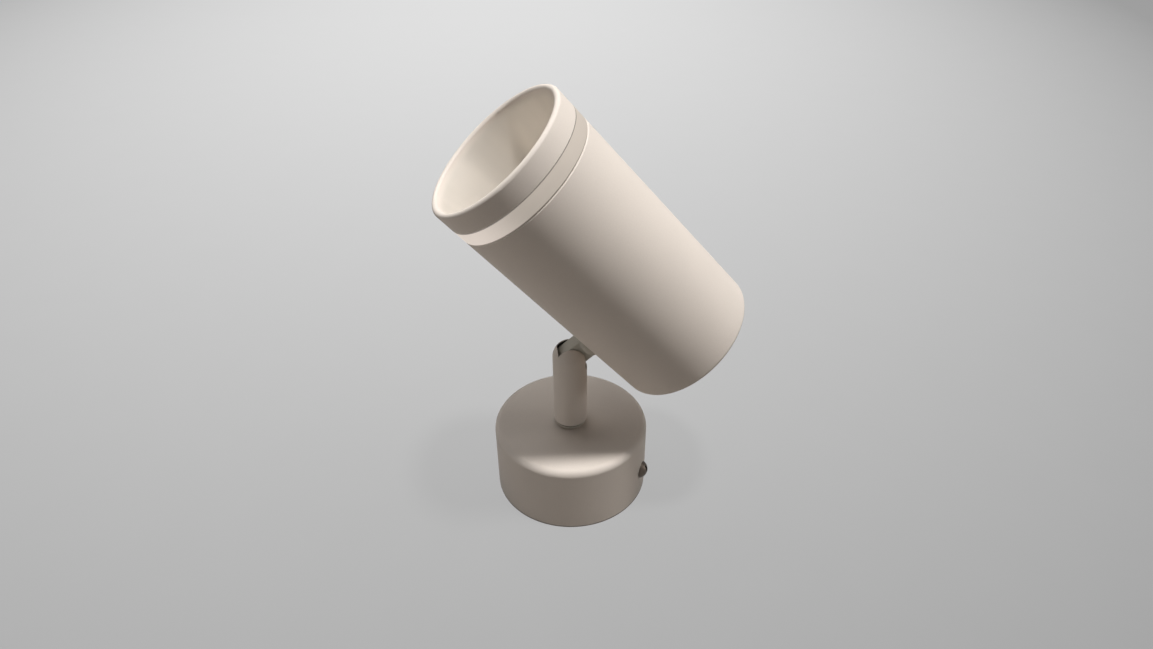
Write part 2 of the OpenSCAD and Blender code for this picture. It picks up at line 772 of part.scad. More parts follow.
// A contact cup stands at the bottom of each pin's pocket
module holder_contacts() {
    color(brass) along_head() for (x = [-1, 1])
        translate([x * pin_pitch / 2, 0, holder_z + holder_len - lamp_pin_len - 1.15])
            cylinder(h = 1, r = lamp_pin_head_d / 2);
}

// The lamp: a straight cap, a bowl that swells to the face, and a shallow recess for the lens
module lamp_body() {
    r = lamp_d / 2;
    cap_r = lamp_cap_d / 2;
    bowl = lamp_len - lamp_cap_len - 3;
    swell = [for (k = [0 : 6]) let (t = k / 6)
        [cap_r + 1.5 + (r - 1 - cap_r - 1.5) * sin(90 * t), lamp_cap_len + bowl * t]];
    color(ceramic) along_head() translate([0, 0, lamp_z]) difference() {
        rotate_extrude() polygon(concat(
            [[0, 0], [cap_r - 0.8, 0], [cap_r, 0.8], [cap_r, lamp_cap_len - 1]], swell,
            [[r, lamp_len - 3], [r, lamp_len - 0.6], [r - 0.6, lamp_len], [0, lamp_len]]));
        translate([0, 0, lamp_len - lens_sink])
            cylinder(h = lens_sink + past, r1 = lens_in_r, r2 = lens_in_r + (lens_sink + past) * lens_flare);
        for (x = [-1, 1]) translate([x * pin_pitch / 2, 0, -past])
            cylinder(h = 3 + past, r = lamp_pin_d / 2 + thread_gap);
    }
}

// The lens sits in the lamp's flared recess, with a low raised ring round its middle
module lamp_lens() {
    lens_t = lens_sink - 1;
    small_r = lens_in_r - slide_gap;
    color(frost) along_head() translate([0, 0, face_z - lens_sink + slide_gap]) {
        cylinder(h = lens_t, r1 = small_r, r2 = small_r + lens_t * lens_flare);
        translate([0, 0, lens_t / 2]) ring(lens_in_r / 2, lens_in_r / 2 - 1.5, lens_t / 2 + 0.5);
    }
}

module lamp_pins() {
    color(brass) along_head() for (x = [-1, 1]) translate([x * pin_pitch / 2, 0, lamp_z]) {
        translate([0, 0, -lamp_pin_len]) cylinder(h = lamp_pin_len + 2.9, r = lamp_pin_d / 2);
        translate([0, 0, -lamp_pin_len]) cylinder(h = 2.6, r = lamp_pin_head_d / 2);
    }
}

// The bezel: a round rim, a glare cone that runs back from it to the lamp's face, and a skirt that
// screws into the housing through the frosted ring, with windows where it passes the ring
module front_bezel() {
    back = head_len - bezel_len;
    rim = rim_w / 2;
    rim_in = head_r - rim_w;
    skirt_r = head_ri - seam_gap;
    skirt_in = skirt_r - skirt_wall;
    skirt_back = body_len - skirt_reach;
    cone_r = lamp_d / 2 - cone_lip;
    cone_back = face_z + 0.3;
    color(paint) along_head() difference() {
        union() {
            rotate_extrude() {
                translate([head_r - rim, head_len - rim]) circle(rim);
                polygon([[rim_in, head_len - rim], [head_r, head_len - rim], [head_r, back],
                         [skirt_in, back], [cone_r + cone_wall, cone_back], [cone_r, cone_back]]);
            }
            translate([0, 0, skirt_back]) ring(skirt_r, skirt_in, back - skirt_back + 0.5);
        }
        for (k = [0 : window_count - 1]) rotate([0, 0, 360 * (k + 0.5) / window_count])
            translate([skirt_in - 0.15, -window_width() / 2, body_len + 0.6])
                cube([skirt_wall + 2, window_width(), ring_len - 1.2]);
    }
}
function window_width() = 2 * (head_ri - 1) * sin(180 / window_count) - window_post;

module frosted_ring() {
    color(frost) along_head() translate([0, 0, body_len + seam_gap])
        ring(head_r, head_ri, ring_len - 2 * seam_gap);
}

module head_lead(side) {
    x = side * way_x;
    inner = side * tube_lead_x;
    top = axis_h - pad_x + sheet_t + washer_t + nut_t + tube_proud;
    back = neck_back - holder_back;
    end_x = axis_h + side * (pin_pitch / 2 - 1.2);
    gate = side * 1.6;
    route = [[x, 0, -2.2], [x, 0, 1.5], [x, 0, 4.3], [inner, 0, 8], [inner, 0, top],
             [inner + 2, gate, top + 1.5], [back - 2.5, gate * 1.2, top + 0.5],
             [back + 3, gate, top - 0.2], [back + 6, gate * 0.8, top + 5],
             [back + 6, gate * 0.4, end_x - 3], [back + 4, 0, end_x], [back + 2, 0, end_x],
             [back - 4, 0, end_x]];
    in_head() lead(route, lead_r, [0, 1, 0], 3);
}

module head_live_lead() {
    color(brown) head_lead(1);
}

module head_neutral_lead() {
    color(blue) head_lead(-1);
}

base_cover();
mounting_bracket();
cover_screws();
terminal_block();
terminal_clamps();
terminal_screws();
block_screw();
earth_screw();
cover_earth_screw();
earth_lugs();
earth_lead();
base_live_lead();
base_neutral_lead();
stem_bush();
stop_pin();
stem();
threaded_tube();
swivel_washer();
stop_washer();
spring_washer();
tube_nuts();
pivot_screw();
tilt_washers();
stem_live_lead();
stem_neutral_lead();
knuckle();
head_housing();
neck_washer();
neck_nut();
holder_bracket();
lampholder();
holder_screws();
holder_contacts();
lamp_body();
lamp_lens();
lamp_pins();
front_bezel();
frosted_ring();
head_live_lead();
head_neutral_lead();
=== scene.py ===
"""Looks of a surface mounted ceiling spotlight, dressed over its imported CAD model.

The frame is the model's own: the origin is the centre of the mounting face, and +Z points to the
head. Sizes are in millimetres here, and a mesh is turned to metres when it is made.
"""
from __future__ import annotations

import logging
import math
from abc import ABC, abstractmethod
from dataclasses import dataclass, field, replace
from enum import Enum
from typing import ClassVar, Optional, Union

import bpy
import numpy as np
from mathutils import Matrix

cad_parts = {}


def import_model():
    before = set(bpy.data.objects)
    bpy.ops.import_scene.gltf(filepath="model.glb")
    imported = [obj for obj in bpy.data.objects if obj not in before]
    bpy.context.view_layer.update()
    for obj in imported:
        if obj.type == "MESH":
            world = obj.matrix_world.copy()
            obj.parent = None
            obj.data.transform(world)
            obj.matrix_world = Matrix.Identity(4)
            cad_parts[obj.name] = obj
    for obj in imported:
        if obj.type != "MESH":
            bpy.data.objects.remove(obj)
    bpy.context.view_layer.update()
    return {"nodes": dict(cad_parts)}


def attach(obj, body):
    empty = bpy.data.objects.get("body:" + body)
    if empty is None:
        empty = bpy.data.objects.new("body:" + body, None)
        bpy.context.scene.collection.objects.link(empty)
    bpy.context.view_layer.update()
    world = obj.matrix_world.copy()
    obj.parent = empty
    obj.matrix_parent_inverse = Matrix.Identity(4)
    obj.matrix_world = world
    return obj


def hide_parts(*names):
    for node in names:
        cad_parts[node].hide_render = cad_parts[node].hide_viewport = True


LOG = logging.getLogger("spotlight")
MM = 0.001
TURN = 2 * math.pi
PHOTO_WIDTH = 1153
# Faces that meet at more than this angle, in degrees, have a sharp edge between them
SHARP = 32
# Faces that meet at less than this angle, in degrees, count as one flat face
FLAT = 0.3
# Steps of a rounded edge, and how strongly large faces set the shading beside it
ROUND_STEPS, FACE_WEIGHT = 3, 80
# Radius of an outer edge up to which it is rubbed the most
RUBBED_R = 0.8
# Least distance between the middles of two faces that is used for how sharp their edge is
LEAST_GAP = 0.05
# Depth of a screw thread, as a share of its pitch
THREAD_DEPTH = 0.54
# Rows of points in one turn of a screw thread, and the fewest that a thread has
THREAD_ROWS = 8


class Body(Enum):
    """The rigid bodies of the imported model."""

    BASE = "base"
    STEM = "stem"
    HEAD = "head"


class Slot(Enum):
    """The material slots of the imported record."""

    PAINT = "sand_paint"
    NYLON = "black_nylon"
    ZINC = "zinc_steel"
    BRONZE = "bronze_steel"
    BRASS = "brass"
    CERAMIC = "white_ceramic"
    LAMP = "lamp_white"
    LENS = "lens_clear"
    FROST = "frosted_acrylic"
    BROWN = "brown_insulation"
    BLUE = "blue_insulation"
    EARTH = "earth_insulation"


class Sock:
    """A shader socket that takes part in Python arithmetic; each operator adds a Math node."""

    def __init__(self, sheet: "Sheet", socket: bpy.types.NodeSocket) -> None:
        """Wraps one output socket.

        Args:
            sheet: The sheet that holds the socket.
            socket: The output socket.
        """
        self.sheet = sheet
        self.socket = socket

    def _math(self, operation: str, *values: "Value") -> "Sock":
        """Adds a Math node that takes the values in this order."""
        return self.sheet.node("ShaderNodeMath", {"operation": operation}, dict(enumerate(values)))

    def __add__(self, other: "Value") -> "Sock":
        """Sum."""
        return self._math("ADD", self, other)

    def __radd__(self, other: "Value") -> "Sock":
        """Sum with a number on the left."""
        return self._math("ADD", other, self)

    def __sub__(self, other: "Value") -> "Sock":
        """Difference."""
        return self._math("SUBTRACT", self, other)

    def __rsub__(self, other: "Value") -> "Sock":
        """Difference from a number."""
        return self._math("SUBTRACT", other, self)

    def __mul__(self, other: "Value") -> "Sock":
        """Product."""
        return self._math("MULTIPLY", self, other)

    def __rmul__(self, other: "Value") -> "Sock":
        """Product with a number on the left."""
        return self._math("MULTIPLY", other, self)

    def __truediv__(self, other: "Value") -> "Sock":
        """Quotient."""
        return self._math("DIVIDE", self, other)

    def __rtruediv__(self, other: "Value") -> "Sock":
        """Quotient with a number on the left."""
        return self._math("DIVIDE", other, self)

    def sine(self) -> "Sock":
        """Sine."""
        return self._math("SINE", self)

    def root(self) -> "Sock":
        """Square root."""
        return self._math("SQRT", self)

    def above(self, other: "Value") -> "Sock":
        """The greater of the two."""
        return self._math("MAXIMUM", self, other)

    def eased(self, low: float = 0.3, high: float = 0.7) -> "Sock":
        """A smooth step, by default one that spreads noise over 0 to 1.

        Args:
            low: The value that gives 0.
            high: The value that gives 1.

        Returns:
            The step's output.
        """
        inputs = {"Value": self, "From Min": low, "From Max": high, "To Min": 0.0, "To Max": 1.0}
        return self.sheet.node("ShaderNodeMapRange", {"interpolation_type": "SMOOTHSTEP"}, inputs,
                               "Result")


Value = Union[Sock, float]
Colour = tuple[float, float, float]


class Sheet:
    """The node tree of one material or world, with one method that adds any node."""

    def __init__(self, owner: Union[bpy.types.Material, bpy.types.World]) -> None:
        """Empties the node tree.

        Args:
            owner: The material or world that has the tree.
        """
        self.owner = owner
        owner.use_nodes = True
        self.tree = owner.node_tree
        self.tree.nodes.clear()

    def node(self, kind: str, settings: Optional[dict] = None, inputs: Optional[dict] = None,
             output: Union[str, int] = 0) -> Optional[Sock]:
        """Adds a node, sets its properties, then feeds its sockets.

        Args:
            kind: The node's type.
            settings: Its properties, by name.
            inputs: Values or sockets, by socket name or number.
            output: The output that is handed back, by name or number.

        Returns:
            The chosen output, or nothing where the node has none.
        """
        made = self.tree.nodes.new(kind)
        for key, value in (settings or {}).items():
            setattr(made, key, value)
        for key, value in (inputs or {}).items():
            self.feed(made.inputs[key], value)
        return Sock(self, made.outputs[output]) if made.outputs else None

    def feed(self, socket: bpy.types.NodeSocket, value: object) -> None:
        """Links or sets one input.

        Args:
            socket: The input.
            value: A Sock, a number, or a colour or vector of three numbers.
        """
        if isinstance(value, Sock):
            self.tree.links.new(value.socket, socket)
        elif socket.type == "RGBA":
            socket.default_value = (*value, 1.0)
        else:
            socket.default_value = value

    def place(self) -> Sock:
        """The object's own coordinates, in metres."""
        return self.node("ShaderNodeTexCoord", output="Object")

    def parts(self, vector: Sock) -> tuple[Sock, Sock, Sock]:
        """The three parts of a vector."""
        return tuple(self.node("ShaderNodeSeparateXYZ", {}, {0: vector}, axis) for axis in range(3))

    def unrolled(self) -> tuple[Sock, Sock, Sock]:
        """The turn round the surface, from 0 to 1, the length along it, in metres, and 0."""
        return self.parts(self.node("ShaderNodeUVMap", {"uv_map": "skin"}))

    def attribute(self, name: str) -> Sock:
        """A number that the mesh carries at its points."""
        return self.node("ShaderNodeAttribute", {"attribute_name": name}, output="Fac")

    def noise(self, per_metre: float, detail: float = 2.0, vector: Optional[Sock] = None) -> Sock:
        """Noise between 0 and 1.

        Args:
            per_metre: Lumps per metre.
            detail: Octaves.
            vector: Where it is read; the object's own coordinates if left out.

        Returns:
            The noise.
        """
        inputs = {"Vector": vector or self.place(), "Scale": per_metre, "Detail": detail}
        return self.node("ShaderNodeTexNoise", {}, inputs)

    def mix(self, share: Value, first: object, second: object) -> Sock:
        """Mixes two colours.

        Args:
            share: How much of the second colour.
            first: A colour, or a socket that carries one.
            second: A colour, or a socket that carries one.

        Returns:
            The mixed colour.
        """
        return self.node("ShaderNodeMix", {"data_type": "RGBA"}, {0: share, 6: first, 7: second}, 2)

    def bump(self, height: Sock, depth_mm: float) -> Sock:
        """A normal from a height between 0 and 1.

        Args:
            height: The height.
            depth_mm: What a height of 1 stands for, in millimetres.

        Returns:
            The bumped normal.
        """
        return self.node("ShaderNodeBump", {}, {"Distance": depth_mm * MM, "Height": height})

    def surface(self, **inputs: object) -> bpy.types.Material:
        """Ends the sheet in a Principled shader.

        Args:
            inputs: The shader's sockets, with underscores for the blanks in their names.

        Returns:
            The finished material.
        """
        named = {key.replace("_", " "): value for key, value in inputs.items()}
        return self.end(self.node("ShaderNodeBsdfPrincipled", {}, named))

    def seen(self) -> Sock:
        """Tells what the camera sees from other light.

        Returns:
            1 for rays from the camera, by itself or by way of metal and glass, and 0 for others.
        """
        kinds = ("Is Camera Ray", "Is Glossy Ray", "Is Transmission Ray")
        camera, glossy, through = (self.node("ShaderNodeLightPath", output=kind) for kind in kinds)
        return camera + glossy + through

    def end(self, shader: Sock) -> Union[bpy.types.Material, bpy.types.World]:
        """Links a shader to the output.

        Args:
            shader: The shader's output.

        Returns:
            The finished material or world.
        """
        world = isinstance(self.owner, bpy.types.World)
        self.node("ShaderNodeOutputWorld" if world else "ShaderNodeOutputMaterial", {},
                  {"Surface": shader})
        return self.owner


def shade(tone: Colour, factor: float) -> Colour:
    """The tone, lighter or darker by a factor."""
    return tuple(min(1.0, channel * factor) for channel in tone)


@dataclass(frozen=True)
class Finish(ABC):
    """A finish of one material slot.

    Attributes:
        slot: The slot that it belongs to.
        tone: Its main colour, linear.
        look: What its material's name ends in.
    """

    slot: Slot
    tone: Colour
    look: str = field(default="finish", kw_only=True)

    @abstractmethod
    def draw(self, sheet: Sheet) -> bpy.types.Material:
        """Draws the finish's nodes on an empty sheet."""

    def material(self) -> bpy.types.Material:
        """The finish's material, made once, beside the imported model's own one of that slot."""
        name = f"{self.slot.value}_{self.look}"
        return bpy.data.materials.get(name) or self.draw(Sheet(bpy.data.materials.new(name)))


@dataclass(frozen=True)
class PowderCoat(Finish):
    """Satin powder paint with an orange peel, a faint cloudiness and thinner paint along the edges.

    Attributes:
        peel_mm: Width of a lump of the orange peel.
        peel_depth_mm: Depth of the orange peel.
        gloss: Roughness of the paint.
        sheen: How strongly the paint mirrors, where 0.5 is plain plastic.
        clouds: Count of its faint clouds in a metre.
        grains: Count of its grains in a metre.
        worn: Count of the worn spots in a metre of edge.
    """

    peel_mm: float = 0.8
    peel_depth_mm: float = 0.006
    gloss: float = 0.60
    sheen: float = 0.25
    clouds: float = 45
    grains: float = 2600
    worn: float = 300

    def draw(self, sheet: Sheet) -> bpy.types.Material:
        """Draws the paint.

        Args:
            sheet: The empty sheet.

        Returns:
            The finished material.
        """
        cloud = sheet.noise(self.clouds, 3).eased()
        grain = sheet.noise(self.grains, 1).eased(0.35, 0.65)
        peel = sheet.noise(1 / (self.peel_mm * MM), 1.5)
        edge = sheet.attribute("edge") * sheet.noise(self.worn).eased(0.25, 0.6)
        tone = sheet.mix(cloud, shade(self.tone, 0.985), shade(self.tone, 1.012))
        tone = sheet.mix(grain * 0.35, tone, shade(self.tone, 0.94))
        tone = sheet.mix(edge * 0.30, tone, shade(self.tone, 1.16))
        rough = self.gloss - 0.02 + cloud * 0.04 + grain * 0.03 - edge * 0.05
        named = {"Base_Color": tone, "Roughness": rough, "Specular_IOR_Level": self.sheen,
                 "Normal": sheet.bump(peel, self.peel_depth_mm)}
        return sheet.surface(**self.inside(sheet, named))

    def inside(self, sheet: Sheet, named: dict[str, object]) -> dict[str, object]:
        """The shader's inputs with what differs inside the piece; the plain coat has nothing."""
        return named


@dataclass(frozen=True)
class StemCoat(PowderCoat):
    """The coat of the stem, with painted shade darkening its slot and bore.

    Attributes:
        skin_r: Radius of the stem, round its axis and, from the pivot upwards, round the pivot.
        fade: Depths under that skin between which the painted shade sets in.
        painted_shade: Colour of the painted shade inside.
    """

    skin_r: float = 6.5
    fade: tuple[float, float] = (0.15, 0.5)
    painted_shade: Colour = (0.030, 0.030, 0.026)

    def inside(self, sheet: Sheet, named: dict[str, object]) -> dict[str, object]:
        """Paints shade under the outer skin, by the square of the distance from its middle.

        Args:
            sheet: The sheet.
            named: The shader's inputs.

        Returns:
            The inputs with the darkened tone.
        """
        x, y, z = sheet.parts(sheet.place())
        above = (z - STANCE.pivot_h * MM).above(0.0)
        reach = x * x + y * y + above * above
        # Painted shade: the slot and the bore darken as if in shadow, by depth under the skin
        deep = reach.eased(*((self.skin_r - depth) ** 2 * MM ** 2 for depth in self.fade))
        return named | {"Base_Color": sheet.mix(deep, named["Base_Color"], self.painted_shade)}


@dataclass(frozen=True)
class CoverCoat(PowderCoat):
    """The base cover's coat, with painted contact shadow where it meets the mounting surface.

    Attributes:
        seam_shade: Heights between which the painted shadow sets in, from none to the most.
        strength: How much of the painted shadow's colour shows.
        painted_shade: Colour of the painted shadow.
    """

    seam_shade: tuple[float, float] = (0.9, 0.1)
    strength: float = 0.8
    painted_shade: Colour = (0.14, 0.105, 0.08)

    def inside(self, sheet: Sheet, named: dict[str, object]) -> dict[str, object]:
        """Paints a contact shadow on the cover's lowest edge.

        Args:
            sheet: The sheet.
            named: The shader's inputs.

        Returns:
            The inputs with the darkened tone.
        """
        # Painted contact shadow: the lowest edge darkens towards the mounting surface
        _, _, z = sheet.parts(sheet.place())
        share = z.eased(*(height * MM for height in self.seam_shade)) * self.strength
        return named | {"Base_Color": sheet.mix(share, named["Base_Color"], self.painted_shade)}


@dataclass(frozen=True)
class ConeCoat(PowderCoat):
    """The coat of the bezel, whose inner cone has a silvery satin with faint rays along it.

    Attributes:
        lip: Radii of the mouth between which the satin starts, inwards.
        cool: Colour of the satin.
        cover: How much of the paint's colour the satin hides.
        silver: How metallic the satin is.
        smooth: How much smoother than the paint it is.
        rays: Count of the rays for each unit round the axis.
        ray_shade: Tone of a ray, as a share of the satin's.
        ray_silver: How much more metallic a ray is.
    """

    lip: tuple[float, float] = (25.2, 24.8)
    cool: Colour = (0.815, 0.757, 0.68)
    cover: float = 0.8
    silver: float = 0.36
    smooth: float = 0.16
    rays: float = 3.2
    ray_shade: float = 0.92
    ray_silver: float = 0.06

    def inside(self, sheet: Sheet, named: dict[str, object]) -> dict[str, object]:
        """Adds the satin inside the mouth.

        The rays are noise that is read on the circle of directions from the head's axis, so they
        have no seam.

        Args:
            sheet: The sheet.
            named: The shader's inputs.

        Returns:
            The inputs with the satin in them.
        """
        along = STANCE.along_head()
        on_axis = sheet.node("ShaderNodeMapping", {"vector_type": "TEXTURE"},
                             {"Vector": sheet.place(), "Location": tuple(along[:3, 3] * MM),
                              "Rotation": Matrix(along).to_euler()})
        x, y, _ = sheet.parts(on_axis)
        radius = (x * x + y * y).root()
        within = radius.eased(*(reach * MM for reach in self.lip))
        around = sheet.node("ShaderNodeCombineXYZ", {}, {0: x / radius, 1: y / radius})
        ray = sheet.noise(self.rays, 1, around).eased() * within
        satin = sheet.mix(ray, self.cool, shade(self.cool, self.ray_shade))
        return named | {"Base_Color": sheet.mix(within * self.cover, named["Base_Color"], satin),
                        "Metallic": within * self.silver + ray * self.ray_silver,
                        "Roughness": named["Roughness"] - within * self.smooth}


@dataclass(frozen=True)
class Moulded(Finish):
    """Moulded plastic with a fine spark grain, paler where it is rubbed.

    Attributes:
        gloss: Roughness of the plastic.
        rubbed: How much paler the rubbed edges are.
        clouds: Count of its clouds in a metre.
        sparks: Count of the grain's lumps in a metre.
        depth_mm: Depth of the grain.
    """

    gloss: float = 0.5
    rubbed: float = 1.8
    clouds: float = 90
    sparks: float = 3200
    depth_mm: float = 0.01

    def draw(self, sheet: Sheet) -> bpy.types.Material:
        """Draws the plastic.

        Args:
            sheet: The empty sheet.

        Returns:
            The finished material.
        """
        spark, cloud = sheet.noise(self.sparks), sheet.noise(self.clouds).eased()
        edge = sheet.attribute("edge") * cloud
        tone = sheet.mix(cloud * 0.5 + spark * 0.3, self.tone, shade(self.tone, 1.25))
        tone = sheet.mix(edge * 0.5, tone, shade(self.tone, self.rubbed))
        rough = self.gloss + spark * 0.12 - edge * 0.1
        return sheet.surface(Base_Color=tone, Roughness=rough,
                             Normal=sheet.bump(spark, self.depth_mm))


@dataclass(frozen=True)
class PlatedMetal(Finish):
    """Plated or bare metal with a mottled tone, fine drawn lines and bright edges.

    Attributes:
        mottle: The second tone of the mottling.
        gloss: Roughness of the metal.
        spots: Count of the mottling's spots in a metre.
        lines: Count of the drawn lines in a metre.
        stretch: How much the lines are drawn out along X, Y and Z.
        depth_mm: Depth of the lines.
    """

    mottle: Colour = (0.5, 0.5, 0.5)
    gloss: float = 0.32
    spots: float = 260
    lines: float = 9000
    stretch: tuple[float, float, float] = (0.06, 1, 1)
    depth_mm: float = 0.004

    def draw(self, sheet: Sheet) -> bpy.types.Material:
        """Draws the metal.

        Args:
            sheet: The empty sheet.

        Returns:
            The finished material.
        """
        mottle, edge = sheet.noise(self.spots, 4).eased(0.35, 0.7), sheet.attribute("edge")
        drawn = sheet.node("ShaderNodeMapping", {},
                           {"Vector": sheet.place(), "Scale": self.stretch})
        lines = sheet.noise(self.lines, 1, drawn)
        tone = sheet.mix(mottle * 0.7, self.tone, self.mottle)
        tone = sheet.mix(edge * 0.4, tone, shade(self.tone, 1.25))
        rough = self.gloss + mottle * 0.12 + lines * 0.08 - edge * 0.08
        return sheet.surface(Base_Color=tone, Metallic=1.0, Roughness=rough,
                             Normal=sheet.bump(lines, self.depth_mm))


@dataclass(frozen=True)
class Glazed(Finish):
    """Fired ceramic or enamelled glass: pale, with specks and slightly uneven gloss.

    Attributes:
        speck: Colour of the specks.
        gloss: Roughness of the glaze.
        clouds: Count of its clouds in a metre.
        specks: Count of the places in a metre where a speck may be.
        lumps: Count of the lumps of its skin in a metre.
        depth_mm: Depth of the lumps.
    """

    speck: Colour = (0.55, 0.5, 0.42)
    gloss: float = 0.38
    clouds: float = 120
    specks: float = 2000
    lumps: float = 1400
    depth_mm: float = 0.012

    def draw(self, sheet: Sheet) -> bpy.types.Material:
        """Draws the ceramic.

        Args:
            sheet: The empty sheet.

        Returns:
            The finished material.
        """
        cloud, lumps = sheet.noise(self.clouds, 3).eased(), sheet.noise(self.lumps)
        specks = sheet.noise(self.specks, 0).eased(0.74, 0.8)
        tone = sheet.mix(cloud, self.tone, shade(self.tone, 0.94))
        tone = sheet.mix(specks * 0.5, tone, self.speck)
        return sheet.surface(Base_Color=tone, Roughness=self.gloss + cloud * 0.1,
                             Normal=sheet.bump(lumps, self.depth_mm))


@dataclass(frozen=True)
class FrostedAcrylic(Finish):
    """Frosted acrylic ring with a painted glow, stronger below than above.

    Attributes:
        above: Colour of its painted glow on its upper half.
        below: Colour of its painted glow at its lowest.
        rise: Sines of the angles below the ring's middle between which above turns to below.
        wall: Where the middle of its outer wall is along the unrolled skin.
        ends: Distances from there between which the wall ends.
        gap_shade: How much painted shade lies past the wall, where it meets its neighbours.
        gap_shade_tone: Colour of that painted shade.
        gloss: Roughness of the acrylic.
        clouds: Count of its clouds in a metre.
        frosts: Count of the frost's lumps in a metre.
        depth_mm: Depth of the frost.
    """

    above: Colour = (0.365, 0.325, 0.285)
    below: Colour = (0.62, 0.55, 0.495)
    rise: tuple[float, float] = (-0.09, 0.71)
    wall: float = 23 / 48
    ends: tuple[float, float] = (0.024, 0.07)
    gap_shade: float = 0.6
    gap_shade_tone: Colour = (0.02, 0.018, 0.015)
    gloss: float = 0.5
    clouds: float = 70
    frosts: float = 4200
    depth_mm: float = 0.004

    def draw(self, sheet: Sheet) -> bpy.types.Material:
        """Draws the acrylic.

        Args:
            sheet: The empty sheet.

        Returns:
            The finished material.
        """
        cloud, frost = sheet.noise(self.clouds).eased(), sheet.noise(self.frosts)
        around, along, _ = sheet.unrolled()
        # Painted glow: the ring glows more on its lower side than on its upper
        low = (around * TURN - math.pi / 2).sine().eased(*self.rise)
        # Painted shade where the ring meets its neighbours; the painted glow dims there too
        off_wall = along - self.wall
        seam_shade = (off_wall * off_wall).eased(*(end ** 2 for end in self.ends)) * self.gap_shade
        tone = sheet.mix(cloud, self.tone, shade(self.tone, 0.95))
        glow = sheet.mix(low, self.above, self.below)
        return sheet.surface(Base_Color=sheet.mix(seam_shade, tone, self.gap_shade_tone),
                             Roughness=self.gloss + frost * 0.12,
                             Emission_Color=sheet.mix(seam_shade.above(cloud * 0.04), glow, (0, 0, 0)),
                             Emission_Strength=1.0, Specular_IOR_Level=0.25,
                             Normal=sheet.bump(frost, self.depth_mm))


@dataclass(frozen=True)
class ClearGlass(Finish):
    """Pressed clear glass with faint waves.

    Attributes:
        gloss: Roughness of the glass.
        clear: How much light goes through it.
        waves: Count of its waves in a metre.
        depth_mm: Depth of the waves.
    """

    gloss: float = 0.16
    clear: float = 0.75
    waves: float = 240
    depth_mm: float = 0.05

    def draw(self, sheet: Sheet) -> bpy.types.Material:
        """Draws the glass.

        Args:
            sheet: The empty sheet.

        Returns:
            The finished material.
        """
        waves = sheet.noise(self.waves)
        tone = sheet.mix(waves, self.tone, shade(self.tone, 0.96))
        return sheet.surface(Base_Color=tone, Roughness=self.gloss + waves * 0.08, IOR=1.5,
                             Transmission_Weight=self.clear,
                             Normal=sheet.bump(waves, self.depth_mm))


@dataclass(frozen=True)
class Insulation(Finish):
    """Soft drawn insulation of a lead, with a second colour in helical bands where it has one.

    Attributes:
        band: The second colour, or nothing.
        twist: Turn of the bands, in radians for each millimetre of lead.
        gloss: Roughness of the insulation.
        smudges: Count of its smudges in a metre.
        lumps: Count of the lumps of its skin in a metre.
        depth_mm: Depth of the lumps.
    """

    band: Optional[Colour] = None
    twist: float = 0.5
    gloss: float = 0.42
    smudges: float = 180
    lumps: float = 1500
    depth_mm: float = 0.01

    def draw(self, sheet: Sheet) -> bpy.types.Material:
        """Draws the insulation.

        Args:
            sheet: The empty sheet.

        Returns:
            The finished material.
        """
        lumps, smudge = sheet.noise(self.lumps), sheet.noise(self.smudges).eased(0.35, 0.75)
        tone = sheet.mix(smudge * 0.5, self.tone, shade(self.tone, 0.8))
        if self.band:
            around, along, _ = sheet.unrolled()
            wave = (around * TURN + along * (self.twist / MM)).sine()
            tone = sheet.mix(wave.eased(0.3, 0.45), tone, self.band)
        return sheet.surface(Base_Color=tone, Roughness=self.gloss + smudge * 0.12,
                             Normal=sheet.bump(lumps, self.depth_mm))


SAND = (0.806, 0.722, 0.644)
PAINT = PowderCoat(Slot.PAINT, SAND)
STEM_PAINT = StemCoat(Slot.PAINT, SAND, look="stem_finish")
CONE_PAINT = ConeCoat(Slot.PAINT, SAND, look="cone_finish")
COVER_PAINT = CoverCoat(Slot.PAINT, SAND, look="cover_shaded_finish")
# Painted shade: the knuckle's paint is a darker, greener copy of the sand paint
NECK_SHADED_PAINT = PowderCoat(Slot.PAINT, (0.57, 0.54, 0.47), look="neck_painted_shade")
NYLON = Moulded(Slot.NYLON, (0.030, 0.028, 0.024))
BUSH_NYLON = Moulded(Slot.NYLON, (0.58, 0.53, 0.45), gloss=0.6, rubbed=1.15, look="bush_finish")
ZINC = PlatedMetal(Slot.ZINC, (0.66, 0.68, 0.70), mottle=(0.52, 0.54, 0.57))
BRONZE = PlatedMetal(Slot.BRONZE, (0.10, 0.08, 0.065), mottle=(0.20, 0.16, 0.13), gloss=0.34)
BRASS = PlatedMetal(Slot.BRASS, (0.72, 0.53, 0.24), mottle=(0.60, 0.42, 0.18), gloss=0.28)
CERAMIC = Glazed(Slot.CERAMIC, (0.84, 0.82, 0.77))
LAMP_WHITE = Glazed(Slot.LAMP, (0.86, 0.86, 0.84), speck=(0.8, 0.8, 0.78), gloss=0.28)
LENS = ClearGlass(Slot.LENS, (0.92, 0.93, 0.92))
FROST = FrostedAcrylic(Slot.FROST, (0.27, 0.235, 0.20))
BROWN = Insulation(Slot.BROWN, (0.12, 0.045, 0.02))
BLUE = Insulation(Slot.BLUE, (0.02, 0.10, 0.38))
EARTH = Insulation(Slot.EARTH, (0.10, 0.30, 0.05), band=(0.72, 0.62, 0.05))


def turning(axis: str, degrees: float) -> np.ndarray:
    """A turn about one axis, as four rows of four."""
    return np.array(Matrix.Rotation(math.radians(degrees), 4, axis))


def shift(x: float, y: float, z: float) -> np.ndarray:
    """A move, as four rows of four."""
    return np.array(Matrix.Translation((x, y, z)))


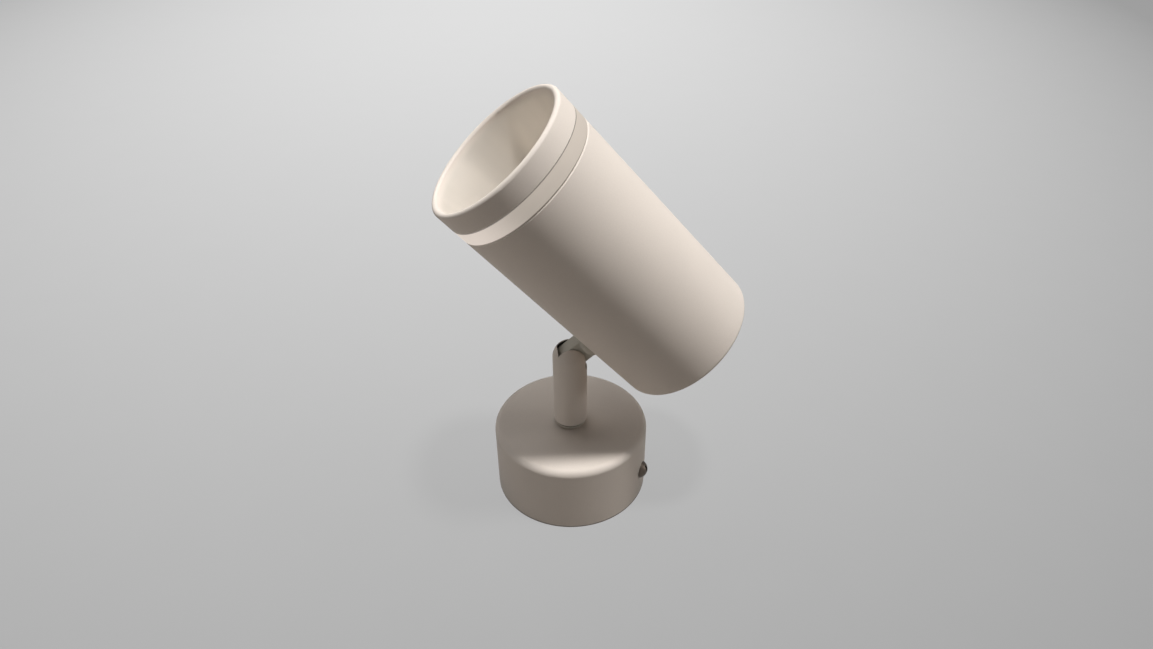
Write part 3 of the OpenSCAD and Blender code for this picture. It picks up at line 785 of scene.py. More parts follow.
@dataclass(frozen=True)
class Stance:
    """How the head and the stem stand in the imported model.

    Attributes:
        pan: Turn of the stem, in degrees.
        tilt: Tilt of the neck from upright, in degrees.
        pivot_h: Height of the tilt pivot.
        neck_back: Distance from the back of the head to the neck.
        axis_h: Distance from the pivot to the head's axis.
    """

    pan: float = 30
    tilt: float = 50
    pivot_h: float = 60.5
    neck_back: float = 24
    axis_h: float = 36.5

    def on_stem(self) -> np.ndarray:
        """The stem's own directions, from the mounting face."""
        return turning("Z", self.pan)

    def in_head(self) -> np.ndarray:
        """The neck's own directions, from the pivot."""
        return self.on_stem() @ shift(0, 0, self.pivot_h) @ turning("Y", self.tilt)

    def along_head(self) -> np.ndarray:
        """Along the head's axis, from its back, with the neck on the -X side."""
        return self.in_head() @ shift(self.neck_back, 0, self.axis_h) @ turning("Y", -90)


STANCE = Stance()
STILL = np.eye(4)


def rounded(corners: list[tuple[float, float, float]], steps: int = 6) -> np.ndarray:
    """A closed outline whose corners are arcs.

    An arc's centre lies on the corner's bisector, and its points are the two radii to its ends,
    mixed by the sines of the angles to them.

    Args:
        corners: Two coordinates and a radius for each corner, counter-clockwise.
        steps: Points in an arc.

    Returns:
        The outline's points, with the first one again at the end.
    """
    table = np.array(corners, float)
    here, radius = table[:, :2], table[:, 2:]
    back = np.roll(here, 1, 0) - here
    ahead = np.roll(here, -1, 0) - here
    back /= np.linalg.norm(back, axis=1, keepdims=True)
    ahead /= np.linalg.norm(ahead, axis=1, keepdims=True)
    half = np.arccos(np.clip((back * ahead).sum(1, keepdims=True), -1, 1)) / 2
    middle = back + ahead
    middle /= np.maximum(np.linalg.norm(middle, axis=1, keepdims=True), 1e-9)
    centre = here + middle * radius / np.sin(half)
    first = here + back * radius / np.tan(half) - centre
    last = here + ahead * radius / np.tan(half) - centre
    sweep = math.pi - 2 * half
    share = np.linspace(0, 1, steps)[None, :, None]
    wide = np.maximum(np.sin(sweep), 1e-9)[:, None]
    arc = (np.sin((1 - share) * sweep[:, None]) * first[:, None]
           + np.sin(share * sweep[:, None]) * last[:, None]) / wide
    points = (centre[:, None] + arc).reshape(-1, 2)
    return np.vstack([points, points[:1]])


def steps_round(columns: int) -> np.ndarray:
    """Even angles of one turn, with both ends."""
    return np.linspace(0, TURN, columns + 1)


def turned(outline: np.ndarray, angles: np.ndarray = steps_round(96)) -> np.ndarray:
    """A profile turned about Z.

    Args:
        outline: Radius and height of each profile point, counter-clockwise.
        angles: The angles of its columns.

    Returns:
        A grid of points: the profile's by the angles.
    """
    radius, height = outline[:, :1], outline[:, 1:]
    return np.stack([radius * np.cos(angles), radius * np.sin(angles),
                     np.broadcast_to(height, (len(outline), len(angles)))], axis=-1)


def threaded(radius: float, bottom: float, top: float, pitch: float, bore: float = 0,
             shoulder: bool = False) -> np.ndarray:
    """A bar or tube with an outer screw thread.

    Its radius is the full one less the thread's depth times a triangle wave, which goes through
    one period for each pitch of height less a whole turn of angle. The thread runs out over one
    pitch at each end.

    Args:
        radius: Full radius.
        bottom: Height of its lower end.
        top: Height of its upper end.
        pitch: Height of one turn of the thread.
        bore: Radius of the bore, or 0 for a bar.
        shoulder: Whether its upper end has the full radius.

    Returns:
        A closed grid of points.
    """
    depth = THREAD_DEPTH * pitch
    rows = max(int(THREAD_ROWS * (top - bottom) / pitch), THREAD_ROWS)
    height = np.linspace(bottom, top, rows)[:, None]
    angle = steps_round(32)[None, :]
    wave = np.abs((height / pitch - angle / TURN) % 1 - 0.5) * 2
    low = np.clip((height - bottom) / pitch, 0, 1)
    high = np.clip((top - height) / pitch, 0, 1)
    cut = wave * low * high + (1 - low) + (0 if shoulder else 1) * (1 - high) * low
    outer = radius - depth * cut
    wall = np.stack([outer * np.cos(angle), outer * np.sin(angle),
                     np.broadcast_to(height, outer.shape)], axis=-1)
    ends = turned(np.array([[bore, bottom], [bore, top], [bore, bottom]], float), angle[0])
    return np.concatenate([ends[:1], wall, ends[1:]])


def curve(route: np.ndarray, steps: int) -> np.ndarray:
    """A smooth line through all points of a route, by the cubic of each four neighbours.

    Args:
        route: The route's points.
        steps: Points in each stretch.

    Returns:
        The line's points.
    """
    count = len(route) - 1
    start = np.arange(count)
    a, b = route[np.maximum(start - 1, 0)][:, None], route[start][:, None]
    c, d = route[start + 1][:, None], route[np.minimum(start + 2, count)][:, None]
    t = (np.arange(steps) / steps)[None, :, None]
    line = 0.5 * (2 * b + (c - a) * t + (2 * a - 5 * b + 4 * c - d) * t ** 2
                  + (3 * b - a - 3 * c + d) * t ** 3)
    return np.vstack([line.reshape(-1, 3), route[-1:]])


def piped(line: np.ndarray, radius: float, side: tuple[float, float, float],
          columns: int = 20) -> tuple[np.ndarray, np.ndarray]:
    """A round tube along a line, with closed ends.

    Each ring's first direction is the given side, less its part along the line.

    Args:
        line: The line's points.
        radius: The tube's radius.
        side: A direction that the line never takes.
        columns: Steps round the tube.

    Returns:
        The grid of points, and the length of line up to each of its rows.
    """
    heading = np.gradient(line, axis=0)
    heading /= np.linalg.norm(heading, axis=1, keepdims=True)
    first = np.array(side, float) - heading * (heading @ np.array(side, float))[:, None]
    first /= np.linalg.norm(first, axis=1, keepdims=True)
    second = np.cross(heading, first)
    angle = np.linspace(0, TURN, columns + 1)[None, :, None]
    ring = radius * (np.cos(angle) * first[:, None] + np.sin(angle) * second[:, None])
    grid = line[:, None] + ring
    ends = [np.repeat(line[end][None, None], columns + 1, 1) for end in (0, -1)]
    length = np.r_[0, np.cumsum(np.linalg.norm(np.diff(line, axis=0), axis=1))]
    return np.concatenate([ends[0], grid, ends[1]]), np.r_[0, length, length[-1]]


def merged(points: np.ndarray, digits: int) -> tuple[np.ndarray, np.ndarray]:
    """Finds the points that are the same.

    Args:
        points: The points.
        digits: How many digits behind the decimal point count.

    Returns:
        The number of the first point of each set of like ones, and the set of each point.
    """
    _, first, inverse = np.unique(np.round(points, digits), axis=0, return_index=True,
                                  return_inverse=True)
    return first, inverse.reshape(-1)


def read(items: bpy.types.bpy_prop_collection, name: str, kind: type, width: int = 1) -> np.ndarray:
    """Reads one property of all faces, edges, corners or points of a mesh.

    Args:
        items: The faces, edges, corners or points.
        name: The property's name.
        kind: The type of its numbers.
        width: How many numbers it has.

    Returns:
        A row for each item, or a number where the property has one.
    """
    values = np.empty(len(items) * width, kind)
    items.foreach_get(name, values)
    return values if width == 1 else values.reshape(-1, width)


def placed(name: str, data: bpy.types.ID) -> bpy.types.Object:
    """Makes an object and links it to the scene.

    Args:
        name: Its name.
        data: The mesh, camera or light that it shows.

    Returns:
        The object.
    """
    made = bpy.data.objects.new(name, data)
    bpy.context.scene.collection.objects.link(made)
    return made


class Skin:
    """Grids of points, in millimetres, that are joined into one mesh."""

    def __init__(self) -> None:
        """Starts with no grid."""
        self.points: list[np.ndarray] = []
        self.quads: list[np.ndarray] = []
        self.flats: list[np.ndarray] = []
        self.count = 0

    def grid(self, points: np.ndarray, place: np.ndarray = STILL, flip: bool = False,
             along: Optional[np.ndarray] = None) -> "Skin":
        """Adds a grid, whose front is where its columns cross its rows.

        Args:
            points: Rows by columns by three coordinates.
            place: Where it goes, as four rows of four.
            flip: Whether its faces look the other way.
            along: A length for each row, for patterns that follow the surface.

        Returns:
            This skin.
        """
        rows, columns = points.shape[:2]
        index = np.arange(rows * columns).reshape(rows, columns) + self.count
        corners = [index[:-1, :-1], index[:-1, 1:], index[1:, 1:], index[1:, :-1]]
        quads = np.stack(corners[::-1] if flip else corners, axis=-1).reshape(-1, 4)
        flat = points.reshape(-1, 3)
        self.points.append(flat @ place[:3, :3].T + place[:3, 3])
        self.quads.append(quads)
        lengths = np.linspace(0, 1, rows) if along is None else along * MM
        self.flats.append(np.stack([np.tile(np.linspace(0, 1, columns), rows),
                                    np.repeat(lengths, columns)], axis=-1))
        self.count += rows * columns
        return self

    def mesh(self, name: str) -> bpy.types.Mesh:
        """Joins the grids at their common points and closes their poles.

        Args:
            name: The mesh's name.

        Returns:
            The mesh, in metres.
        """
        points, quads = np.concatenate(self.points), np.concatenate(self.quads)
        first, sets = merged(points, 4)
        joined = sets[quads]
        kept = joined != np.roll(joined, 1, axis=1)
        whole = kept.sum(1) >= 3
        mesh = faces_to_mesh(name, points[first] * MM, joined[whole], kept[whole])
        flat = np.concatenate(self.flats)[quads[whole][kept[whole]]]
        mesh.uv_layers.new(name="skin").data.foreach_set("uv", flat.astype(np.float32).ravel())
        mesh.shade_smooth()
        mesh.set_sharp_from_angle(angle=math.radians(SHARP))
        mark_edges(mesh)
        return mesh


def faces_to_mesh(name: str, points: np.ndarray, faces: np.ndarray,
                  kept: np.ndarray) -> bpy.types.Mesh:
    """A mesh of triangles and quads.

    Args:
        name: The mesh's name.
        points: The vertices, in metres.
        faces: Four vertex numbers for each face.
        kept: Which of the four are real corners.

    Returns:
        The mesh.
    """
    mesh = bpy.data.meshes.new(name)
    totals = kept.sum(1)
    mesh.vertices.add(len(points))
    mesh.vertices.foreach_set("co", points.astype(np.float32).ravel())
    mesh.loops.add(int(totals.sum()))
    mesh.loops.foreach_set("vertex_index", faces[kept].astype(np.int32))
    mesh.polygons.add(len(faces))
    mesh.polygons.foreach_set("loop_start", np.r_[0, np.cumsum(totals)[:-1]].astype(np.int32))
    mesh.update(calc_edges=True)
    mesh.validate()
    return mesh


def mark_edges(mesh: bpy.types.Mesh) -> None:
    """Writes how sharply the surface turns outwards at each vertex, as the attribute edge.

    The turn at a mesh edge is the angle between its two faces' normals over the distance between
    their centres. A vertex takes the largest turn that meets it, and 1 stands for a radius of
    RUBBED_R or less.

    Args:
        mesh: The mesh.
    """
    normal = read(mesh.polygons, "normal", np.float32, 3)
    centre = read(mesh.polygons, "center", np.float32, 3) / MM
    edge_of = read(mesh.loops, "edge_index", np.int32)
    face_of = np.repeat(np.arange(len(normal)), read(mesh.polygons, "loop_total", np.int32))
    order = np.argsort(edge_of, kind="stable")
    same = np.flatnonzero(edge_of[order][:-1] == edge_of[order][1:])
    left, right = face_of[order[same]], face_of[order[same + 1]]
    angle = np.arccos(np.clip((normal[left] * normal[right]).sum(1), -1, 1))
    gap = centre[right] - centre[left]
    outward = (gap * normal[left]).sum(1) < 0
    turn = np.where(outward, angle / np.maximum(np.linalg.norm(gap, axis=1), LEAST_GAP), 0)
    ends = read(mesh.edges, "vertices", np.int32, 2)
    sharpest = np.zeros(len(mesh.vertices), np.float32)
    for corner in (0, 1):
        np.maximum.at(sharpest, ends[edge_of[order[same]], corner], turn)
    layer = mesh.attributes.new("edge", "FLOAT", "POINT")
    layer.data.foreach_set("value", np.clip(sharpest * RUBBED_R, 0, 1).astype(np.float32))


class Bench:
    """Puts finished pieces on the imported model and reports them."""

    def __init__(self, nodes: dict[str, bpy.types.Object]) -> None:
        """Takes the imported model's nodes.

        Args:
            nodes: The CAD objects by name.
        """
        self.nodes = nodes

    def add(self, name: str, mesh: bpy.types.Mesh, finish: Finish, body: Body,
            *stands_for: str) -> bpy.types.Object:
        """Makes a piece that rides on a body and stands for CAD nodes.

        Args:
            name: The piece's name.
            mesh: Its mesh, in place.
            finish: Its finish.
            body: The body that carries it.
            stands_for: The CAD nodes that it replaces.

        Returns:
            The piece.
        """
        piece = placed(name, mesh)
        mesh.materials.clear()
        mesh.materials.append(finish.material())
        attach(piece, body.value)
        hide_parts(*stands_for)
        LOG.info("%s: %d faces on %s", name, len(mesh.polygons), body.value)
        return piece

    def dress(self, finish: Finish, *names: str) -> None:
        """Gives CAD nodes their finish.

        Args:
            finish: The finish.
            names: The nodes.
        """
        for name in names:
            slots = self.nodes[name].data.materials
            slots.clear()
            slots.append(finish.material())
            LOG.info("%s: dressed in %s", name, finish.slot.value)

    def ease(self, finish: Finish, body: Body, width: float, *names: str) -> None:
        """Replaces CAD nodes by merged copies whose sharp edges are rounded.

        Args:
            finish: The finish.
            body: The body that carries them.
            width: Width of the rounding, in millimetres.
            names: The nodes.
        """
        for name in names:
            source = self.nodes[name].data
            points = read(source.vertices, "co", np.float32, 3)
            first, sets = merged(points, 7)
            faces = sets[read(source.loops, "vertex_index", np.int32)].reshape(-1, 3)
            faces = faces[(faces != np.roll(faces, 1, axis=1)).all(1)]
            rough = faces_to_mesh(name, points[first], np.c_[faces, faces[:, :1]],
                                  np.tile([True, True, True, False], (len(faces), 1)))
            self.add(f"{name}_eased", self._rounded_copy(rough, width), finish, body, name)

    @staticmethod
    def _rounded_copy(rough: bpy.types.Mesh, width: float) -> bpy.types.Mesh:
        """Rounds the sharp edges of a mesh.

        Args:
            rough: The mesh.
            width: Width of the rounding, in millimetres.

        Returns:
            A new mesh with even shading on its flat faces.
        """
        block = placed("block", rough)
        rough.shade_smooth()
        flat = block.modifiers.new("flat", "DECIMATE")
        flat.decimate_type, flat.angle_limit = "DISSOLVE", math.radians(FLAT)
        bevel = block.modifiers.new("bevel", "BEVEL")
        bevel.width, bevel.segments, bevel.limit_method = width * MM, ROUND_STEPS, "ANGLE"
        bevel.angle_limit, bevel.use_clamp_overlap = math.radians(SHARP), True
        even = block.modifiers.new("even", "WEIGHTED_NORMAL")
        even.weight = FACE_WEIGHT
        graph = bpy.context.evaluated_depsgraph_get()
        mesh = bpy.data.meshes.new_from_object(block.evaluated_get(graph), depsgraph=graph)
        bpy.data.objects.remove(block)
        mark_edges(mesh)
        return mesh


@dataclass(frozen=True)
class Screw:
    """A screw along -Z with a slotted head that stands on z = 0.

    Attributes:
        radius: Radius of the thread.
        length: Length of the shank.
        head_r: Radius of the head.
        head_t: Height of the head.
        drive_w: Width of the slot.
        slot_z: Height of the slot's floor.
        pitch: Pitch of the thread.
        domed: Whether the head is a dome, and not a flat cheese.
    """

    radius: float
    length: float
    head_r: float
    head_t: float
    drive_w: float
    slot_z: float
    pitch: float = 0.5
    domed: bool = False

    def ball(self) -> float:
        """Radius of the sphere through a dome's rim and its tip."""
        return (self.head_r ** 2 + self.head_t ** 2) / (2 * self.head_t)

    def crown(self, x: np.ndarray, y: np.ndarray) -> np.ndarray:
        """Height of the head's top.

        A dome is a sphere through its rim and its tip. A cheese head is flat with a round edge,
        whose height falls by the edge's radius less that of a circle.

        Args:
            x: Places along the slot.
            y: Places across the slot.

        Returns:
            The heights.
        """
        if self.domed:
            ball = self.ball()
            return self.head_t - ball + np.sqrt(ball ** 2 - x ** 2 - y ** 2)
        edge = 0.2
        past = np.clip((np.hypot(x, y) - self.head_r + edge) / edge, 0, 1)
        return self.head_t - edge * (1 - np.sqrt(1 - past ** 2))

    def fill(self, skin: Skin, place: np.ndarray) -> None:
        """Adds the screw's grids.

        The head above the slot's floor is two caps. Each cap's rows cross the head, and end on the
        circle of its rim, where a cheese head's wall goes down to the floor.

        Args:
            skin: The skin that takes them.
            place: Where the screw stands.
        """
        rim, ball, chamfer = self.head_r, self.ball(), 0.1
        if self.domed:
            rim = math.sqrt(ball ** 2 - (self.slot_z - self.head_t + ball) ** 2)
        half_w = math.asin(self.drive_w / 2 / rim)
        cap = np.linspace(half_w, math.pi / 2, 9)
        slot = np.array([-half_w, 0, half_w])
        right = np.concatenate([-cap[::-1], slot[1:-1], cap])
        round_rim = np.concatenate([right, math.pi - right[::-1][1:]])
        if self.domed:
            radii = np.linspace(self.head_r, rim, 6)[:, None]
            wall = np.hstack([radii, self.crown(radii, np.zeros_like(radii))])
        else:
            wall = np.array([[rim - chamfer, 0], [rim, chamfer], [rim, self.slot_z]])
        under = np.array([[0, 0]], float)
        skin.grid(turned(np.vstack([under, wall]), round_rim), place)
        share = np.sin(np.linspace(-math.pi / 2, math.pi / 2, 17))
        share = np.concatenate([[-1], share, [1]])
        for side in (1, -1):
            angle = cap if side > 0 else -cap[::-1]
            x = share * rim * np.cos(angle)[:, None]
            y = np.broadcast_to(rim * np.sin(angle)[:, None], x.shape)
            z = self.crown(x, y)
            z[:, [0, -1]] = self.slot_z
            skin.grid(np.stack([x, y, z], axis=-1), place)
            edge = 0 if side > 0 else -1
            top = np.stack([x[edge], y[edge], z[edge]], axis=-1)
            foot = top * [1, 1, 0] + [0, 0, self.slot_z]
            skin.grid(np.stack([foot, top]), place, flip=side < 0)
        x = share * rim * np.cos(slot)[:, None]
        y = np.broadcast_to(rim * np.sin(slot)[:, None], x.shape)
        skin.grid(np.stack([x, y, np.full_like(x, self.slot_z)], axis=-1), place)
        skin.grid(threaded(self.radius, -self.length, 0, self.pitch, shoulder=True), place)


COVER_SCREW = Screw(radius=2.0, length=5.6, head_r=3.5, head_t=2.4, drive_w=1.0, slot_z=1.44,
                    pitch=0.7, domed=True)
BLOCK_SCREW = Screw(radius=1.5, length=10.6, head_r=2.1, head_t=1.6, drive_w=0.7, slot_z=0.88)
EARTH_SCREW = Screw(radius=2.0, length=2.4, head_r=3.6, head_t=2.2, drive_w=1.0, slot_z=1.21,
                    pitch=0.7)
TAG_SCREW = Screw(radius=1.5, length=5.0, head_r=2.8, head_t=1.6, drive_w=0.8, slot_z=0.88)
HOLDER_SCREW = replace(TAG_SCREW, length=14.0)
CLAMP_SCREW = Screw(radius=1.25, length=4.1, head_r=1.25, head_t=0.9, drive_w=0.6, slot_z=0.0)


@dataclass
class SubAssembly(ABC):
    """A group of pieces on one body.

    Attributes:
        bench: The bench that takes the pieces.
        body: The body that carries them.
        lead_r: Radius of a lead.
    """

    bench: Bench
    body: ClassVar[Body]
    lead_r: float = 0.7

    @abstractmethod
    def build(self) -> None:
        """Builds and dresses the pieces."""

    def lead(self, name: str, route: list[list[float]], side: tuple[float, float, float],
             place: np.ndarray, finish: Finish) -> None:
        """Makes one lead along its route.

        Args:
            name: The CAD node that it stands for.
            route: The points that it passes.
            side: A direction that it never takes.
            place: Where the route goes.
            finish: Its insulation.
        """
        grid, length = piped(curve(np.array(route, float), 8), self.lead_r, side)
        mesh = Skin().grid(grid, place, along=length).mesh(name)
        self.bench.add(f"{name}_wire", mesh, finish, self.body, name)

    def turn(self, name: str, outline: np.ndarray, places: list[np.ndarray],
             finish: Finish) -> None:
        """Makes a piece of parts that are turned from one profile.

        Args:
            name: The CAD node that it stands for.
            outline: The closed profile.
            places: Where each part's axis goes.
            finish: Its finish.
        """
        skin = Skin()
        for place in places:
            skin.grid(turned(outline), place)
        self.bench.add(f"{name}_turned", skin.mesh(name), finish, self.body, name)

    def screws(self, name: str, screw: Screw, places: list[np.ndarray], finish: Finish) -> None:
        """Makes a set of like screws.

        Args:
            name: The CAD node that they stand for.
            screw: The screw.
            places: Where each one stands.
            finish: Their finish.
        """
        skin = Skin()
        for place in places:
            screw.fill(skin, place)
        self.bench.add(f"{name}_cut", skin.mesh(name), finish, self.body, name)


@dataclass
class MountingBase(SubAssembly):
    """The base: cover, bracket, terminals, earth and the bush.

    Attributes:
        radius: Outer radius of the cover.
        height: Height of the cover.
        wall: Wall of the cover.
        cover_screw_z: Height of the side screws.
        cover_screw_gap: How far their heads stand off the cover.
        bush_r: Radius of the bush.
        bush_h: Height of the bush above the cover.
        seam_h: Height of the gap above and below the bush's flange.
        seam_deep: Depth of that gap.
        sleeve_r: Radius of the bush's sleeve.
        bore_r: Radius of the bush's bore.
        block: Place of the terminal block's middle, and its top.
        block_gap: How far its screw's head stands off it.
        pole_x: Distance of a terminal from the block's middle, across the leads.
        pole_y: Distance of its screws from the block's middle, along the leads.
        pole_h: Height of its screws' heads above it.
        clamp_z: Height of the terminals.
        earth: Place of the bracket's earth screw along Y, and the height of its seat.
        boss: Place of the seat of the cover's earth screw.
        tube_x: Distance of a lead from the tube's axis.
        tube_z: Height of the tube's lower end.
    """

    body: ClassVar[Body] = Body.BASE
    radius: float = 30.0
    height: float = 29.0
    wall: float = 1.5
    cover_screw_z: float = 11.8
    cover_screw_gap: float = 0.02
    bush_r: float = 6.0
    bush_h: float = 1.5
    seam_h: float = 0.45
    seam_deep: float = 0.95
    sleeve_r: float = 5.0
    bore_r: float = 4.06
    block: tuple[float, float, float] = (0.0, -16.0, 10.6)
    block_gap: float = 0.1
    pole_x: float = 5.5
    pole_y: float = 3.2
    pole_h: float = 4.9
    clamp_z: float = 6.64
    earth: tuple[float, float] = (13.0, 2.4)
    boss: tuple[float, float, float] = (-10.26, 17.1, 20.6)
    tube_x: float = 1.7
    tube_z: float = 17.1

    def build(self) -> None:
        """Builds the base's pieces."""
        self.bench.dress(COVER_PAINT, "base_cover")
        self.bench.ease(ZINC, self.body, 0.15, "mounting_bracket", "earth_lugs", "stop_pin")
        self.bench.ease(CERAMIC, self.body, 0.25, "terminal_block")
        self.bench.ease(BRASS, self.body, 0.1, "terminal_clamps")
        self.fasteners()
        self.bush()
        self.leads()

    def fasteners(self) -> None:
        """Cuts the screws of the base."""
        (x, y, top), reach = self.block, self.radius + self.cover_screw_gap
        sides = [turning("Z", turn) @ shift(reach, 0, self.cover_screw_z) @ turning("Y", 90)
                 for turn in (0, 180)]
        poles = [shift(x + side * self.pole_x, y + end * self.pole_y, self.clamp_z + self.pole_h)
                 for side in (-1, 1) for end in (-1, 1)]
        self.screws("cover_screws", COVER_SCREW, sides, BRONZE)
        self.screws("block_screw", BLOCK_SCREW, [shift(x, y, top + self.block_gap)], ZINC)
        self.screws("earth_screw", EARTH_SCREW, [shift(0, *self.earth)], ZINC)
        self.screws("cover_earth_screw", TAG_SCREW, [shift(*self.boss) @ turning("X", 180)], ZINC)
        self.screws("terminal_screws", CLAMP_SCREW, poles, ZINC)

    def bush(self) -> None:
        """Turns the bush: a flange with a waist above and below it, and a sleeve in the cover."""
        top, cover, waist = self.height + self.bush_h, self.height, self.bush_r - self.seam_deep
        low, high, under = cover + self.seam_h, top - self.seam_h, cover - self.wall
        outline = rounded([(self.bore_r, under, 0.15), (self.sleeve_r, under, 0.15),
                           (self.sleeve_r, cover, 0), (waist, cover, 0), (waist, low, 0),
                           (self.bush_r, low, 0.12), (self.bush_r, high, 0.12),
                           (waist, high, 0), (waist, top, 0.05), (self.bore_r, top, 0.15)])
        self.turn("stem_bush", outline, [STILL], BUSH_NYLON)

    def leads(self) -> None:
        """Lays the base's leads: two from the block to the tube, and the earth between its tags."""
        pan, block_y, clamp_z = math.radians(STANCE.pan), self.block[1], self.clamp_z
        thick, top = 2 * self.lead_r, self.tube_z - 0.3
        for side, name, finish in ((1, "base_live_lead", BROWN), (-1, "base_neutral_lead", BLUE)):
            x, y = side * self.tube_x * math.cos(pan), side * self.tube_x * math.sin(pan)
            pole = side * self.pole_x
            route = [[pole, block_y + 1.95, clamp_z], [pole, block_y + 7.54, clamp_z],
                     [pole * 0.8, block_y + 10.4, clamp_z + thick],
                     [x * 1.4, y * 1.4 - self.lead_r, top - 2.5 * thick],
                     [x, y, top - thick], [x, y, top]]
            self.lead(name, route, (1, 0, 0), STILL, finish)
        (boss_x, boss_y, _), (earth_y, _), low, high = self.boss, self.earth, 2.75, 20.25
        route = [[5.5, earth_y, low], [8, earth_y, low], [10, earth_y, low],
                 [14.25, earth_y + 1.5, 6.09], [15.25, earth_y + 3, 11.02],
                 [11.115, boss_y + 1, 17.11], [3.99, boss_y + 0.5, high - 1],
                 [boss_x + 10, boss_y, high], [boss_x + 8, boss_y, high],
                 [boss_x + 5.5, boss_y, high]]
        self.lead("earth_lead", route, (0, 1, 0), STILL, EARTH)


@dataclass
class TurningStem(SubAssembly):
    """The stem with its swivel under the cover and its tilt joint.

    Attributes:
        tube_r: Radius of the threaded tube.
        tube_bore: Radius of its bore.
        tube_z: Height of its lower end.
        tube_top: Height of its upper end.
        tube_pitch: Pitch of its thread.
        washer_r: Radius of the swivel washer.
        washer_z: Height of the swivel washer.
        washer_t: Its thickness.
        lead_x: Distance of a lead from the axis.
        lead_top: Height of a lead's upper end.
    """

    body: ClassVar[Body] = Body.STEM
    tube_r: float = 4.0
    tube_bore: float = 2.7
    tube_z: float = 17.1
    tube_top: float = 41.6
    tube_pitch: float = 1.0
    washer_r: float = 8.5
    washer_z: float = 26.6
    washer_t: float = 0.8
    lead_x: float = 1.7
    lead_top: float = 55.5

    def build(self) -> None:
        """Builds the stem's pieces."""
        self.bench.ease(STEM_PAINT, self.body, 0.3, "stem")
        self.bench.ease(ZINC, self.body, 0.12, "stop_washer", "spring_washer", "pivot_screw")
        self.bench.ease(BRASS, self.body, 0.2, "tube_nuts")
        thread = threaded(self.tube_r, self.tube_z, self.tube_top, self.tube_pitch, self.tube_bore)
        tube = Skin().grid(thread, STANCE.on_stem()).mesh("threaded_tube")
        self.bench.add("threaded_tube_cut", tube, ZINC, self.body, "threaded_tube")
        low, high, bore = self.washer_z, self.washer_z + self.washer_t, self.tube_r + 0.05
        washer = rounded([(bore, low, 0.1), (self.washer_r, low, 0.2), (self.washer_r, high, 0.2),
                          (bore, high, 0.1)])
        self.turn("swivel_washer", washer, [STILL], NYLON)
        self.tilt_washers()
        for side, name, finish in ((1, "stem_live_lead", BROWN), (-1, "stem_neutral_lead", BLUE)):
            heights = (self.tube_z, self.tube_top, self.lead_top)
            route = [[side * self.lead_x, 0, height] for height in heights]
            self.lead(name, route, (1, 0, 0), STANCE.on_stem(), finish)

    def tilt_washers(self) -> None:
        """Turns the two friction washers, one on each side of the tongue."""
        near, far, bore, rim = 3.05, 3.5, 1.6, 4.2
        outline = rounded([(bore, near, 0.05), (rim, near, 0.1), (rim, far, 0.1),
                           (bore, far, 0.05)])
        pivot = STANCE.on_stem() @ shift(0, 0, STANCE.pivot_h)
        self.turn("tilt_washers", outline, [pivot @ turning("X", side) for side in (-90, 90)],
                  NYLON)


